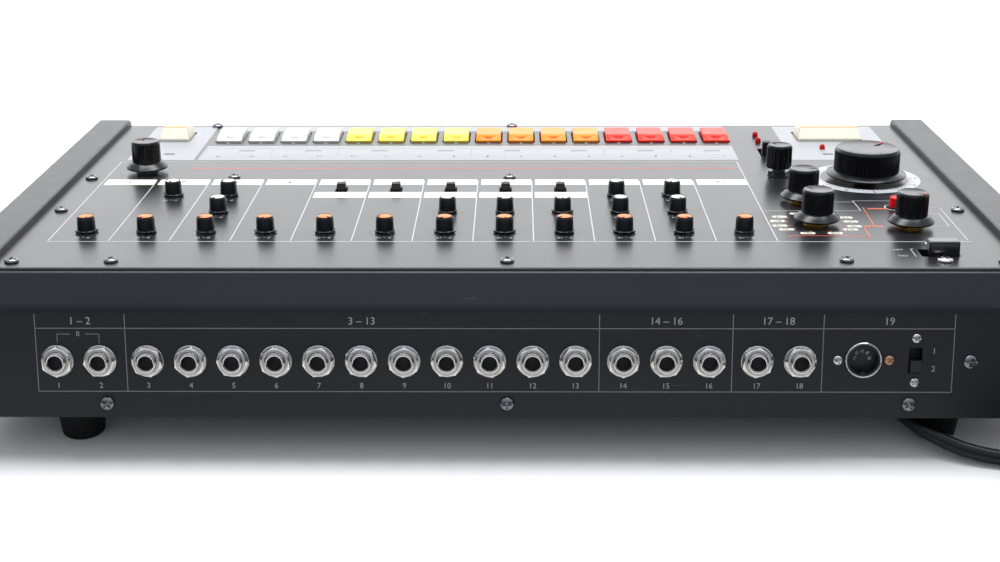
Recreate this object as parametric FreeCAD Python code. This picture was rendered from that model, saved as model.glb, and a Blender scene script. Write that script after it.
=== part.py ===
import FreeCAD, Part
import math
import os
from FreeCAD import Placement, Rotation, Vector

# A table-top drum machine: a sloping panel of knobs, switches and step keys on a folded
# steel case between two cheeks. Lengths are in millimetres and angles in degrees. The
# user sits on the -Y side, the sockets face +Y, and the feet stand on z = 0.

# Overall size
overall_width = 508.0
overall_depth = 305.0
cheek_thickness = 19.0
cheek_margin = 3.4
cheek_front_round = 5.0
cheek_edge_round = 1.2
rear_overhang = 0.8
cut_past = 1.0
join_overlap = 1.0

# Folded case
panel_slope = 7.0
panel_sheet = 1.5
rear_lean = 13.5
rear_face_height = 51.2
rear_sheet = 1.2
bevel_run = 11.2
bevel_rise = 14.83
flange_length = 18.0
tray_sheet = 1.2
tray_flange_height = 12.0
fold_radius = 2.0
rear_bend_radius = 11.0
panel_rear_round = 1.2

# Feet
foot_height = 18.0
foot_top_radius = 11.6
foot_bottom_radius = 9.8
foot_from_side = 35.0
foot_from_rear = 18.5
foot_from_front = 26.0
foot_round = 1.5

# Knob shafts, their bushes and the board that carries them
shaft_radius = 3.0
shaft_clearance = 0.06
bush_radius = 3.6
bush_hole_clearance = 0.4
bush_nut_across = 10.0
bush_nut_thickness = 2.2
bush_washer_thickness = 0.5
bush_washer_radius = 6.2
bush_reach = 4.4
control_top_depth = 9.0
board_depth = 16.0
board_thickness = 1.6
shaft_end_gap = 1.0
small_control_side = 11.0
control_side = 16.0
rotary_switch_radius = 12.0
rotary_switch_depth = 21.0
panel_control_radius = 8.5
board_clearance = 1.0

# Small knobs, in twelve columns
column_count = 12
first_column_from_right = 30.6
last_column_from_left = 120.62
level_row = 55.0
tone_row = 89.2
decay_row = 120.0
small_knob_height = 8.3
small_knob_top_radius = 4.1
small_knob_waist_radius = 4.4
small_knob_flange_radius = 4.95
small_knob_flange_thickness = 1.0
small_knob_gap = 0.35
small_cap_radius = 3.65
small_cap_recess = 0.3
small_cap_taper = 0.1
small_knob_flange_slope = 0.2
small_knob_bevel = 0.4
level_pointers = [-20.0, 35.0, 60.0, 10.0, -45.0, 80.0, 25.0, -10.0, 50.0, 15.0, -30.0, 70.0]
tone_pointers = [30.0, -60.0, 45.0, 0.0, 85.0, -25.0, 15.0, 70.0, -40.0, 20.0]

# Skirted knobs
knob_height = 17.8
knob_barrel_radius = 7.75
knob_flute_depth = 0.35
knob_flutes = 30
knob_skirt_radius = 11.2
knob_skirt_bottom = 2.6
knob_skirt_rim = 0.9
knob_skirt_top = 6.4
knob_top_bevel = 0.8
groove_width = 1.0
groove_depth = 0.5
groove_start_share = 0.35
knob_hollow_radius = 8.6
knob_hollow_top = 5.4
volume_from_right = 35.4
volume_row = 167.4
volume_pointer = 150.0
mode_from_left = 38.4
mode_row = 63.8
mode_pointer = -50.0
instrument_from_left = 83.2
instrument_row = 68.9
instrument_pointer = 130.0
fill_from_left = 83.5
fill_row = 108.5
fill_pointer = -90.0

# Tempo dial
tempo_from_left = 42.0
tempo_row = 151.8
tempo_height = 17.9
tempo_barrel_radius = 17.3
tempo_skirt_radius = 21.1
tempo_skirt_bottom = 2.8
tempo_skirt_rim = 0.9
tempo_skirt_top = 5.4
tempo_flutes = 60
tempo_pointer = -135.0
tempo_hollow_radius = 12.0
tempo_hollow_top = 5.0

# Fine tempo knob, with no skirt
fine_from_left = 87.7
fine_row = 160.5
fine_height = 17.3
fine_barrel_radius = 6.8
fine_barrel_bottom = 4.6
fine_pointer = 140.0

# Step keys
key_count = 16
key_pitch = 19.25
key_row_x = 22.0
key_width = 15.0
key_length = 24.5
key_rear_from_front = 44.75
key_height = 3.3
key_rear_height = 1.2
key_slope_length = 7.0
key_edge_round = 0.5
key_skirt_depth = 4.0
key_travel = 2.5
key_clearance = 0.6
key_stem_side = 4.0
key_switch_side = 12.0
key_switch_gap = 2.0
key_bottom_gap = 0.9
stem_clearance = 0.3
well_floor = 0.6

# Start/stop and tap buttons
button_rear_from_front = 42.4
button_length = 22.3
button_slope_length = 5.2
button_rear_height = 1.5
start_from_left = 45.25
start_width = 37.8
start_height = 8.0
tap_from_right = 35.7
tap_width = 17.8
tap_height = 8.2

# Round clear button
clear_from_left = 38.1
clear_row = 97.5
clear_radius = 3.2
clear_height = 5.6
clear_base_radius = 4.6
clear_base_height = 0.9
clear_travel = 1.5

# Slide levers on the panel
slide_first_column = 4
slide_count = 5
slide_row = 131.0
slide_width = 5.2
slide_length = 4.0
slide_height = 4.0
slide_travel = 4.0
slide_depth = 4.0
variation_from_left = 87.9
variation_row = 204.8
variation_height = 7.9
variation_travel = 12.0
slide_body_side = 1.6

# Power switch
power_from_left = 33.7
power_row = 20.55
power_width = 14.6
power_length = 6.8
power_height = 7.0
power_edge_round = 1.0
power_depth = 4.0
power_travel = 3.6
power_slot_width = 17.9
power_slot_shift = 1.3
power_slot_margin = 0.4
power_body_depth = 16.0
power_screw_offset = 10.25

# Rear sockets, measured up the rear face and to the left as seen from behind
jack_row = 26.6
jack_first_from_right = 30.9
jack_last_from_left = 102.53
jack_group_gap = 2.2
jack_group_counts = [2, 11, 3, 2]
jack_bore_radius = 3.25
jack_bore_depth = 24.0
jack_mouth_flare = 0.5
jack_bush_radius = 4.6
jack_reach = 4.8
jack_body_width = 14.0
jack_body_height = 16.0
jack_body_depth = 22.0
jack_nut_across = 12.7
jack_nut_thickness = 2.4
jack_washer_radius = 7.4
jack_washer_thickness = 0.6
jack_thread_clearance = 0.05
jack_hole_clearance = 0.25
jack_turn_step = 37.0
hexagon_sides = 6

# Round sync socket and its slide switch
din_from_left = 74.0
din_row = 27.3
din_shell_radius = 8.3
din_reach = 0.7
din_recess_radius = 6.7
din_recess_depth = 5.0
din_body_depth = 15.0
din_pin_circle = 3.4
din_pin_radius = 0.8
din_pin_depth = 3.0
din_pins = 5
din_flange_width = 29.0
din_flange_height = 18.0
din_flange_thickness = 1.0
din_screw_offset = 11.6
sync_from_left = 50.6
sync_row = 27.2
sync_window_width = 5.9
sync_window_height = 11.8
sync_lever_width = 5.0
sync_lever_height = 5.4
sync_lever_reach = 1.6
sync_travel = 5.0
sync_body_width = 9.0
sync_body_height = 26.0
sync_body_depth = 9.0
sync_screw_offset = 10.3

# Screws, measured from the panel's rear edge, from its front edge and from the cheeks; a
# side screw has 1 for the right side or -1 for the left before its row
rear_corner_screw_row = 8.5
rear_middle_screws = [(181.6, 9.3), (0.0, 9.5), (-155.2, 10.5)]
side_screw_inset = 8.0
side_screws = [(1, 92.0), (1, 153.5), (-1, 92.0)]
middle_screws = [(149.7, 155.7), (-0.5, 155.5)]
front_screw_xs = [180.1, -1.4, -180.1]
front_screw_from_front = 4.25
screw_head_radius = 3.3
screw_head_height = 1.9
screw_shank_radius = 1.5
screw_length = 6.0
screw_hole_clearance = 0.2
screw_edge_share = 0.45
screw_crown_share = 0.6
screw_cross_length_share = 1.3
screw_cross_width_share = 0.3
screw_cross_depth_share = 0.5
switch_screw_radius = 3.6
small_screw_head_radius = 2.2
small_screw_head_height = 1.2
small_screw_shank_radius = 1.0
rear_screw_x = 182.4
rear_screw_row = 6.6
side_screw_from_left = 25.9

# Lamps: each x, and its distance from the front edge
lamp_spots = [(-147.2, 29.9), (-146.9, 44.4), (-181.7, 61.2)]
lamp_radius = 1.6
lamp_height = 3.0
lamp_edge_height = 1.4
lamp_crown_radius = 1.1
lamp_crown_height = 2.6
lamp_collar_depth = 3.0
lamp_stem_radius = 1.0
lamp_hole_clearance = 0.2

# Circuit boards and transformer
board_margin = 16.0
jack_board_low = 9.0
jack_board_high = 45.0
voice_board_from_left = 117.0
voice_board_from_right = 21.0
voice_board_front = -104.0
voice_board_rear = 112.0
pillar_height = 7.0
pillar_radius = 3.0
pillar_inset = 10.0
chip_length = 19.0
chip_width = 6.4
chip_height = 3.6
chip_rows = 4
chip_columns = 7
transformer_from_left = 63.0
transformer_y = 54.0
transformer_width = 56.0
transformer_depth = 30.0
transformer_height = 30.0
transformer_frame = 9.0
transformer_coil_bulge = 7.0
transformer_foot = 10.0
transformer_foot_thickness = 1.5

# Mains lead: a moulded grip under the tray, a round cord, its coil and its plug
cord_diameter = 7.2
gland_x = -176.2
gland_y = 86.0
gland_z = 12.0
gland_block_width = 20.0
gland_block_length = 16.0
gland_block_depth = 12.0
gland_sleeve_length = 24.0
gland_sleeve_radius = 5.6
gland_tip_radius = 4.4
gland_heading = 97.0
gland_neck_radius = 4.0
gland_neck_rise = 3.0
gland_hole_clearance = 0.6
coil_x = -270.0
coil_y = 210.5
coil_mean_radius = 40.0
coil_turns_wide = 3
coil_turns_high = 3
coil_round = 2.0
arc_share = 0.45
plug_x = -311.0
plug_y = 262.0
plug_width = 24.0
plug_length = 30.0
plug_height = 17.0
plug_round = 3.0
plug_sleeve_length = 16.0
plug_blade_gap = 12.7
plug_blade_width = 6.3
plug_blade_thickness = 1.5
plug_blade_length = 18.0

# Worked-out places of the case
slope = math.radians(panel_slope)
lean = math.radians(rear_lean)
inner_width = overall_width - 2 * cheek_thickness
rear_edge_y = overall_depth / 2 - rear_overhang
rear_top_y = rear_edge_y - rear_face_height * math.sin(lean)
rear_top_z = foot_height + rear_face_height * math.cos(lean)
panel_edge_y = rear_top_y - bevel_run
panel_edge_z = rear_top_z + bevel_rise
front_edge_y = -overall_depth / 2 + cheek_margin
panel_length = (panel_edge_y - front_edge_y) / math.cos(slope)
front_edge_z = panel_edge_z - panel_length * math.sin(slope)
tray_top_z = foot_height + tray_sheet
left_x = -inner_width / 2
right_x = inner_width / 2
foot_x = right_x - foot_from_side
first_column_x = right_x - first_column_from_right
last_column_x = left_x + last_column_from_left
column_pitch = (first_column_x - last_column_x) / (column_count - 1)
mode_x = left_x + mode_from_left
instrument_x = left_x + instrument_from_left
fill_x = left_x + fill_from_left
tempo_x = left_x + tempo_from_left
fine_x = left_x + fine_from_left
clear_x = left_x + clear_from_left
variation_x = left_x + variation_from_left
power_x = left_x + power_from_left
start_x = left_x + start_from_left
volume_x = right_x - volume_from_right
tap_x = right_x - tap_from_right
key_rear_row = panel_length - key_rear_from_front
button_rear_row = panel_length - button_rear_from_front
jack_first_x = right_x - jack_first_from_right
jack_last_x = left_x + jack_last_from_left
din_x = left_x + din_from_left
sync_x = left_x + sync_from_left
side_screw_x = right_x - side_screw_from_left
transformer_x = left_x + transformer_from_left
voice_board_left = left_x + voice_board_from_left
voice_board_right = right_x - voice_board_from_right
shaft_bore_radius = shaft_radius + shaft_clearance
bush_hole_radius = bush_radius + bush_hole_clearance
cord_radius = cord_diameter / 2
well_bottom = -board_depth + well_floor
key_switch_top_depth = key_skirt_depth + key_travel + key_switch_gap

# Two working frames: on the panel, y runs up the slope from its rear edge and z stands
# out of it; on the rear face, x runs to the left of the user, y up the face, z outwards
panel_frame = Placement(Vector(0, panel_edge_y, panel_edge_z), Rotation(Vector(1, 0, 0), panel_slope))
rear_turn = Rotation(Vector(1, 0, 0), rear_lean - 90).multiply(Rotation(Vector(0, 0, 1), 180))
rear_frame = Placement(Vector(0, rear_edge_y, foot_height), rear_turn)
parts = {}


def placed(shape, frame):
    return shape.transformed(frame.toMatrix())


def block(low, high):
    return Part.makeBox(high[0] - low[0], high[1] - low[1], high[2] - low[2], Vector(*low))


def centred_block(x, y, width, length, low_z, high_z):
    return block((x - width / 2, y - length / 2, low_z), (x + width / 2, y + length / 2, high_z))


def cylinder(x, y, low_z, high_z, radius):
    return Part.makeCylinder(radius, high_z - low_z, Vector(x, y, low_z))


def turned(x, y, profile):
    corners = [Vector(radius, 0, z) for radius, z in profile]
    face = Part.Face(Part.makePolygon(corners + corners[:1]))
    solid = face.revolve(Vector(), Vector(0, 0, 1), 360)
    solid.translate(Vector(x, y, 0))
    return solid


def prism(corners, depth):
    face = Part.Face(Part.makePolygon(corners + corners[:1]))
    return face.extrude(depth)


def polygon_prism(x, y, low_z, high_z, radii):
    corners = []
    for index, radius in enumerate(radii):
        angle = 2 * math.pi * index / len(radii)
        corners.append(Vector(x + radius * math.cos(angle), y + radius * math.sin(angle), low_z))
    return prism(corners, Vector(0, 0, high_z - low_z))


def hexagon(x, y, low_z, high_z, across, turn):
    nut = polygon_prism(0, 0, low_z, high_z, [across / math.sqrt(3)] * hexagon_sides)
    nut.rotate(Vector(), Vector(0, 0, 1), turn)
    nut.translate(Vector(x, y, 0))
    return nut


def fused(first, *others):
    return first.fuse(list(others)).removeSplitter()


def only_solid(shape):
    return shape.Solids[0] if len(shape.Solids) == 1 else shape


def group(solids):
    return Part.makeCompound(list(solids))


def rounded(solid, radius, wanted):
    edges = [edge for edge in solid.Edges if wanted(edge)]
    return solid.makeFillet(radius, edges)


def add(name, shape):
    parts[name] = only_solid(shape)


# A line beside the path of corners, at a set distance to the left of its direction
def offset_path(corners, distance):
    normals = []
    for start, end in zip(corners, corners[1:]):
        along = Vector(0, end[0] - start[0], end[1] - start[1]).normalize()
        normals.append((-along.z, along.y))
    normals = normals[:1] + normals + normals[-1:]
    moved = []
    for corner, before, after in zip(corners, normals, normals[1:]):
        share = distance / (1 + before[0] * after[0] + before[1] * after[1])
        moved.append((corner[0] + share * (before[0] + after[0]), corner[1] + share * (before[1] + after[1])))
    return moved


def lengthwise_edge_at(corner):
    def wanted(edge):
        if len(edge.Vertexes) < 2:
            return False
        ends = [vertex.Point for vertex in edge.Vertexes]
        near = [abs(end.y - corner[0]) < 0.01 and abs(end.z - corner[1]) < 0.01 for end in ends]
        return all(near) and abs(ends[0].x - ends[1].x) > 1
    return wanted


# Sheet metal bent along the path of corners, as long as the case is wide inside, with an
# outer radius for each bend
def folded_sheet(corners, thickness, radii):
    inside = offset_path(corners, thickness)
    outline = [Vector(-inner_width / 2, y, z) for y, z in list(corners) + inside[::-1]]
    sheet = prism(outline, Vector(inner_width, 0, 0))
    for outer, inner, radius in zip(corners[1:-1], inside[1:-1], radii):
        sheet = rounded(sheet, radius, lengthwise_edge_at(outer))
        sheet = rounded(sheet, radius - thickness, lengthwise_edge_at(inner))
    return sheet


# Where a line through one point meets the panel's plane sunk by a depth
def meets_sunk_panel(y, z, step_y, step_z, depth):
    normal_y = -math.sin(slope)
    normal_z = math.cos(slope)
    height = (y - panel_edge_y) * normal_y + (z - panel_edge_z) * normal_z + depth
    share = -height / (step_y * normal_y + step_z * normal_z)
    return (y + share * step_y, z + share * step_z)


def column_x(column):
    return first_column_x - column * column_pitch


def jack_places():
    spread = jack_first_x - jack_last_x - (len(jack_group_counts) - 1) * jack_group_gap
    pitch = spread / (sum(jack_group_counts) - 1)
    places = []
    x = jack_first_x
    for count in jack_group_counts:
        for _ in range(count):
            places.append(x)
            x -= pitch
        x -= jack_group_gap
    return places


# The panel's screws: along its rear edge, its sides, its middle and its front edge
def panel_screws():
    corner_x = right_x - side_screw_inset
    places = [(x, -row) for x, row in rear_middle_screws]
    places += [(side * corner_x, -rear_corner_screw_row) for side in (1, -1)]
    places += [(side * corner_x, -row) for side, row in side_screws]
    places += [(x, -row) for x, row in middle_screws]
    return places + [(x, front_screw_from_front - panel_length) for x in front_screw_xs]


# Every knob, button, lever and lamp by its place on the panel: x, and y up the slope
level_places = [(column_x(column), -level_row) for column in range(column_count)]
tone_columns = [(2, tone_row), (6, tone_row), (7, tone_row), (8, tone_row), (9, tone_row), (10, tone_row)]
decay_columns = [(1, decay_row), (2, decay_row), (9, decay_row), (10, decay_row)]
tone_places = [(column_x(column), -row) for column, row in tone_columns + decay_columns]
slide_places = [(column_x(slide_first_column + step), -slide_row) for step in range(slide_count)]
key_first_x = key_row_x - key_pitch * (key_count - 1) / 2
key_places = [(key_first_x + step * key_pitch, -key_rear_row) for step in range(key_count)]
volume_place = (volume_x, -volume_row)
mode_place = (mode_x, -mode_row)
instrument_place = (instrument_x, -instrument_row)
fill_place = (fill_x, -fill_row)
tempo_place = (tempo_x, -tempo_row)
fine_place = (fine_x, -fine_row)
clear_place = (clear_x, -clear_row)
variation_place = (variation_x, -variation_row)
power_place = (power_x, -power_row)
lamp_places = [(x, from_front - panel_length) for x, from_front in lamp_spots]
panel_screw_places = panel_screws()
jack_xs = jack_places()
rear_screw_places = [(-rear_screw_x, rear_screw_row), (0.0, rear_screw_row), (rear_screw_x, rear_screw_row)]
rear_screw_places.append((side_screw_x, jack_row))


# Case: a folded rear, a folded panel, a tray and two cheeks
def make_rear_panel():
    bevel_end = meets_sunk_panel(rear_top_y, rear_top_z, -bevel_run, bevel_rise, panel_sheet)
    flange_end_y = bevel_end[0] - flange_length * math.cos(slope)
    flange_end = (flange_end_y, bevel_end[1] - flange_length * math.sin(slope))
    corners = [(rear_edge_y, foot_height), (rear_top_y, rear_top_z), bevel_end, flange_end]
    sheet = folded_sheet(corners, rear_sheet, [rear_bend_radius, fold_radius])
    cuts = []
    for x in jack_xs:
        hole_radius = jack_bush_radius + jack_hole_clearance
        cuts.append(cylinder(-x, jack_row, -2 * rear_sheet, rear_sheet, hole_radius))
    hole_radius = din_shell_radius + jack_hole_clearance
    cuts.append(cylinder(-din_x, din_row, -2 * rear_sheet, rear_sheet, hole_radius))
    window = (-sync_x, sync_row, sync_window_width, sync_window_height)
    cuts.append(centred_block(*window, -2 * rear_sheet, rear_sheet))
    hole_radius = screw_shank_radius + screw_hole_clearance
    for x, y in rear_screw_places:
        cuts.append(cylinder(x, y, -2 * rear_sheet, rear_sheet, hole_radius))
    small_hole_radius = small_screw_shank_radius + screw_hole_clearance
    for x, y in small_screw_places():
        cuts.append(cylinder(x, y, -2 * rear_sheet, rear_sheet, small_hole_radius))
    sheet = sheet.cut([placed(cut, rear_frame) for cut in cuts])
    rear_screws = panel_screw_places[:len(rear_middle_screws) + 2] + power_screw_places()[:1]
    low = -2 * panel_sheet - rear_sheet
    flange_cuts = [cylinder(x, y, low, 0, hole_radius) for x, y in rear_screws]
    x, y, width, length = power_window()
    margin = 2 * slide_body_side + 2 * screw_hole_clearance
    flange_cuts.append(centred_block(x, y, width + margin, length + margin, low, 0))
    sheet = sheet.cut([placed(cut, panel_frame) for cut in flange_cuts])
    return sheet


def small_screw_places():
    places = [(-din_x - din_screw_offset, din_row), (-din_x + din_screw_offset, din_row)]
    places += [(-sync_x, sync_row - sync_screw_offset), (-sync_x, sync_row + sync_screw_offset)]
    return places


def button_places():
    return [(start_x, start_width), (tap_x, tap_width)]


# A slide lever's window has room for its travel, which the tall lever begins at the rear
def slide_windows():
    width = slide_width + 2 * key_clearance
    short = slide_length + slide_travel + 2 * key_clearance
    windows = [(x, y, width, short) for x, y in slide_places]
    long = slide_length + variation_travel + 2 * key_clearance
    windows.append((variation_x, -variation_row - variation_travel / 2, width, long))
    return windows


def power_window():
    length = power_length + power_travel + 2 * power_slot_margin
    middle = power_place[1] - power_travel / 2
    return (power_x + power_slot_shift, middle, power_slot_width, length)


def make_top_panel():
    corners = [(panel_edge_y, panel_edge_z), (front_edge_y, front_edge_z), (front_edge_y, foot_height)]
    sheet = folded_sheet(corners, panel_sheet, [fold_radius])
    sheet = rounded(sheet, panel_rear_round, lengthwise_edge_at(corners[0]))
    low = -2 * panel_sheet
    high = panel_sheet
    knobs = level_places + tone_places
    knobs += [volume_place, mode_place, instrument_place, fill_place, tempo_place, fine_place]
    cuts = [cylinder(x, y, low, high, bush_hole_radius) for x, y in knobs]
    margin = 2 * key_clearance
    for x, y in key_places:
        middle = y - key_length / 2
        cuts.append(centred_block(x, middle, key_width + margin, key_length + margin, low, high))
    for x, width in button_places():
        middle = -button_rear_row - button_length / 2
        cuts.append(centred_block(x, middle, width + margin, button_length + margin, low, high))
    cuts += [centred_block(*window, low, high) for window in slide_windows()]
    cuts.append(centred_block(*power_window(), low, high))
    cuts.append(cylinder(*clear_place, low, high, clear_base_radius - key_clearance))
    cuts += [cylinder(x, y, low, high, lamp_radius + lamp_hole_clearance) for x, y in lamp_places]
    hole_radius = screw_shank_radius + screw_hole_clearance
    cuts += [cylinder(x, y, low, high, hole_radius) for x, y in panel_screw_places + power_screw_places()]
    return sheet.cut([placed(cut, panel_frame) for cut in cuts])


def make_bottom_tray():
    front_y = front_edge_y + panel_sheet
    rear_low = (rear_edge_y - rear_sheet / math.cos(lean), foot_height)
    step = tray_flange_height
    rear_high = (rear_low[0] - step * math.sin(lean), rear_low[1] + step * math.cos(lean))
    corners = [(front_y, foot_height + step), (front_y, foot_height), rear_low, rear_high]
    tray = folded_sheet(corners, tray_sheet, [fold_radius, fold_radius])
    hole_radius = screw_shank_radius + screw_hole_clearance
    cuts = []
    for x, y in rear_screw_places[:3]:
        cuts.append(placed(cylinder(x, y, -3 * rear_sheet, 0, hole_radius), rear_frame))
    hole_radius = gland_neck_radius + gland_hole_clearance
    cuts.append(cylinder(gland_x, gland_y, foot_height - cut_past, tray_top_z + cut_past, hole_radius))
    return tray.cut(cuts)


def cheek_corners():
    case = [(rear_edge_y, foot_height), (rear_top_y, rear_top_z), (panel_edge_y, panel_edge_z)]
    case += [(front_edge_y, front_edge_z), (front_edge_y, foot_height)]
    corners = offset_path(case, -cheek_margin)
    corners[0] = (overall_depth / 2, foot_height)
    return corners


def make_cheek(side):
    corners = cheek_corners()
    inner_x = side * inner_width / 2
    outline = [Vector(inner_x, y, z) for y, z in corners]
    cheek = prism(outline, Vector(side * cheek_thickness, 0, 0))
    cheek = rounded(cheek, cheek_front_round, lengthwise_edge_at(corners[3]))
    cheek = rounded(cheek, rear_bend_radius + cheek_margin, lengthwise_edge_at(corners[1]))
    bottom = foot_height + 0.01

    def on_upper_rim(edge):
        ends = [vertex.Point for vertex in edge.Vertexes]
        flat = abs(ends[0].x - ends[1].x) < 0.01
        return flat and max(end.z for end in ends) > bottom
    return rounded(cheek, cheek_edge_round, on_upper_rim)


def make_foot(x, y):
    foot = Part.makeCone(foot_bottom_radius, foot_top_radius, foot_height, Vector(x, y, 0))

    def at_floor(edge):
        return edge.BoundBox.ZMax < 0.01
    return rounded(foot, foot_round, at_floor)


def make_feet():
    rear_y = rear_edge_y - foot_from_rear
    front_y = front_edge_y + foot_from_front
    return group(make_foot(side * foot_x, y) for side in (-1, 1) for y in (front_y, rear_y))


# Screws: a domed head with a cross recess, on a shank
def screw(x, y, head_radius, head_height, shank_radius, length):
    edge_height = head_height * screw_edge_share
    profile = [(0, 0), (head_radius, 0), (head_radius, edge_height)]
    profile += [(head_radius * screw_crown_share, head_height), (0, head_height)]
    cross_length = head_radius * screw_cross_length_share
    cross_width = head_radius * screw_cross_width_share
    cross_floor = head_height * (1 - screw_cross_depth_share)
    cross_top = head_height + cut_past
    cross = [centred_block(x, y, cross_length, cross_width, cross_floor, cross_top)]
    cross.append(centred_block(x, y, cross_width, cross_length, cross_floor, cross_top))
    head = turned(x, y, profile).cut(cross)
    return fused(head, cylinder(x, y, -length, 0, shank_radius))


def power_screw_places():
    x = power_x + power_slot_shift
    rear = -power_row + power_screw_offset
    front = -power_row - power_travel - power_screw_offset
    return [(x, rear), (x, front)]


def make_screws():
    size = (screw_head_radius, screw_head_height, screw_shank_radius, screw_length)
    on_panel = [screw(x, y, *size) for x, y in panel_screw_places]
    on_rear = [screw(x, y, *size) for x, y in rear_screw_places]
    size = (switch_screw_radius, screw_head_height, screw_shank_radius, screw_length)
    on_panel += [screw(x, y, *size) for x, y in power_screw_places()]
    size = (small_screw_head_radius, small_screw_head_height, small_screw_shank_radius, screw_length)
    on_rear += [screw(x, y, *size) for x, y in small_screw_places()]
    screws = [placed(item, panel_frame) for item in on_panel]
    return group(screws + [placed(item, rear_frame) for item in on_rear])


# Sockets on the rear face
def make_jacks():
    jacks = []
    inside = -rear_sheet
    mouth = jack_reach - jack_mouth_flare
    flare_profile = [(0, mouth), (jack_bore_radius, mouth), (jack_bore_radius + jack_mouth_flare, jack_reach)]
    flare_profile.append((0, jack_reach))
    for x in jack_xs:
        body = centred_block(-x, jack_row, jack_body_width, jack_body_height, -jack_body_depth, inside)
        bush = cylinder(-x, jack_row, -jack_body_depth / 2, jack_reach, jack_bush_radius)
        flare = turned(-x, jack_row, flare_profile)
        bore = cylinder(-x, jack_row, jack_reach - jack_bore_depth, jack_reach, jack_bore_radius)
        jacks.append(placed(fused(body, bush).cut([bore, flare]), rear_frame))
    return group(jacks)


def make_jack_nuts():
    rings = []
    hole_radius = jack_bush_radius + jack_thread_clearance
    for index, x in enumerate(jack_xs):
        top = jack_washer_thickness + jack_nut_thickness
        washer = cylinder(-x, jack_row, 0, jack_washer_thickness, jack_washer_radius)
        nut = hexagon(-x, jack_row, jack_washer_thickness, top, jack_nut_across, index * jack_turn_step)
        hole = cylinder(-x, jack_row, -cut_past, top + cut_past, hole_radius)
        rings += [placed(washer.cut(hole), rear_frame), placed(nut.cut(hole), rear_frame)]
    return group(rings)


def make_din_socket():
    x = -din_x
    flange_top = -rear_sheet
    shell = cylinder(x, din_row, -din_body_depth, din_reach, din_shell_radius)
    flange_low = flange_top - din_flange_thickness
    flange = centred_block(x, din_row, din_flange_width, din_flange_height, flange_low, flange_top)
    recess_floor = din_reach - din_recess_depth
    cuts = [cylinder(x, din_row, recess_floor, din_reach, din_recess_radius)]
    for pin in range(din_pins):
        angle = math.pi * pin / (din_pins - 1)
        pin_x = x + din_pin_circle * math.cos(angle)
        pin_y = din_row + din_pin_circle * math.sin(angle)
        cuts.append(cylinder(pin_x, pin_y, recess_floor - din_pin_depth, recess_floor, din_pin_radius))
    hole_radius = small_screw_shank_radius + screw_hole_clearance
    for side in (-1, 1):
        screw_x = x + side * din_screw_offset
        cuts.append(cylinder(screw_x, din_row, flange_low - cut_past, flange_top, hole_radius))
    return placed(fused(shell, flange).cut(cuts), rear_frame)


# Controls under the panel
def small_control(x, y):
    body = centred_block(x, y, small_control_side, small_control_side, -board_depth, -control_top_depth)
    bush = cylinder(x, y, -control_top_depth - join_overlap, 0, bush_radius)
    bore = cylinder(x, y, -board_depth + shaft_end_gap / 2, cut_past, shaft_bore_radius)
    return fused(body, bush).cut(bore)


def panel_control(x, y, body):
    bush = cylinder(x, y, -control_top_depth - join_overlap, bush_reach, bush_radius)
    bore = cylinder(x, y, -board_depth + shaft_end_gap / 2, bush_reach + cut_past, shaft_bore_radius)
    nut_top = bush_washer_thickness + bush_nut_thickness
    washer = cylinder(x, y, 0, bush_washer_thickness, bush_washer_radius)
    nut = hexagon(x, y, bush_washer_thickness, nut_top, bush_nut_across, 0)
    thread = cylinder(x, y, -cut_past, nut_top + cut_past, bush_radius + jack_thread_clearance)
    return [fused(body, bush).cut(bore), washer.cut(thread), nut.cut(thread)]


def make_potentiometers():
    solids = [small_control(x, y) for x, y in level_places + tone_places]
    square = centred_block(*volume_place, control_side, control_side, -board_depth, -control_top_depth)
    solids += panel_control(*volume_place, square)
    for x, y in (tempo_place, fine_place):
        drum = cylinder(x, y, -board_depth - 2 * board_thickness, -control_top_depth, panel_control_radius)
        solids += panel_control(x, y, drum)
    for x, y in (mode_place, instrument_place, fill_place):
        drum = cylinder(x, y, -rotary_switch_depth, -control_top_depth, rotary_switch_radius)
        solids += panel_control(x, y, drum)
    return placed(group(solids), panel_frame)


def key_switch(x, y):
    body = centred_block(x, y, key_switch_side, key_switch_side, -board_depth, -key_switch_top_depth)
    well_side = key_stem_side + 2 * stem_clearance
    well = centred_block(x, y, well_side, well_side, well_bottom, 0)
    return body.cut(well)


def slide_body(window, low):
    middle_x, middle_y, width, length = window
    margin = 2 * slide_body_side
    body = centred_block(middle_x, middle_y, width + margin, length + margin, low, -panel_sheet)
    recess = centred_block(middle_x, middle_y, width, length, -slide_depth - stem_clearance, 0)
    return body.cut(recess)


# The raised ring that the round button rises from
def clear_bezel():
    ring = cylinder(*clear_place, 0, clear_base_height, clear_base_radius)
    hole_radius = clear_radius + stem_clearance
    return ring.cut(cylinder(*clear_place, -cut_past, clear_base_height + cut_past, hole_radius))


def make_panel_switches():
    solids = []
    for x, y in key_places:
        solids.append(key_switch(x, y - key_length / 2))
    for x, _ in button_places():
        solids.append(key_switch(x, -button_rear_row - button_length / 2))
    solids += [key_switch(*clear_place), clear_bezel()]
    solids += [slide_body(window, -board_depth) for window in slide_windows()]
    solids.append(slide_body(power_window(), -power_body_depth))
    solids = [placed(solid, panel_frame) for solid in solids]
    window = (-sync_x, sync_row, sync_window_width, sync_window_height)
    back = -rear_sheet - sync_body_depth
    body = centred_block(-sync_x, sync_row, sync_body_width, sync_body_height, back, -rear_sheet)
    body = body.cut(centred_block(*window, -rear_sheet - slide_depth - stem_clearance, 0))
    pilot = small_screw_shank_radius + screw_hole_clearance
    for y in (sync_row - sync_screw_offset, sync_row + sync_screw_offset):
        body = body.cut(cylinder(-sync_x, y, -screw_length - rear_sheet, 0, pilot))
    solids.append(placed(body, rear_frame))
    return group(solids)


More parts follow.
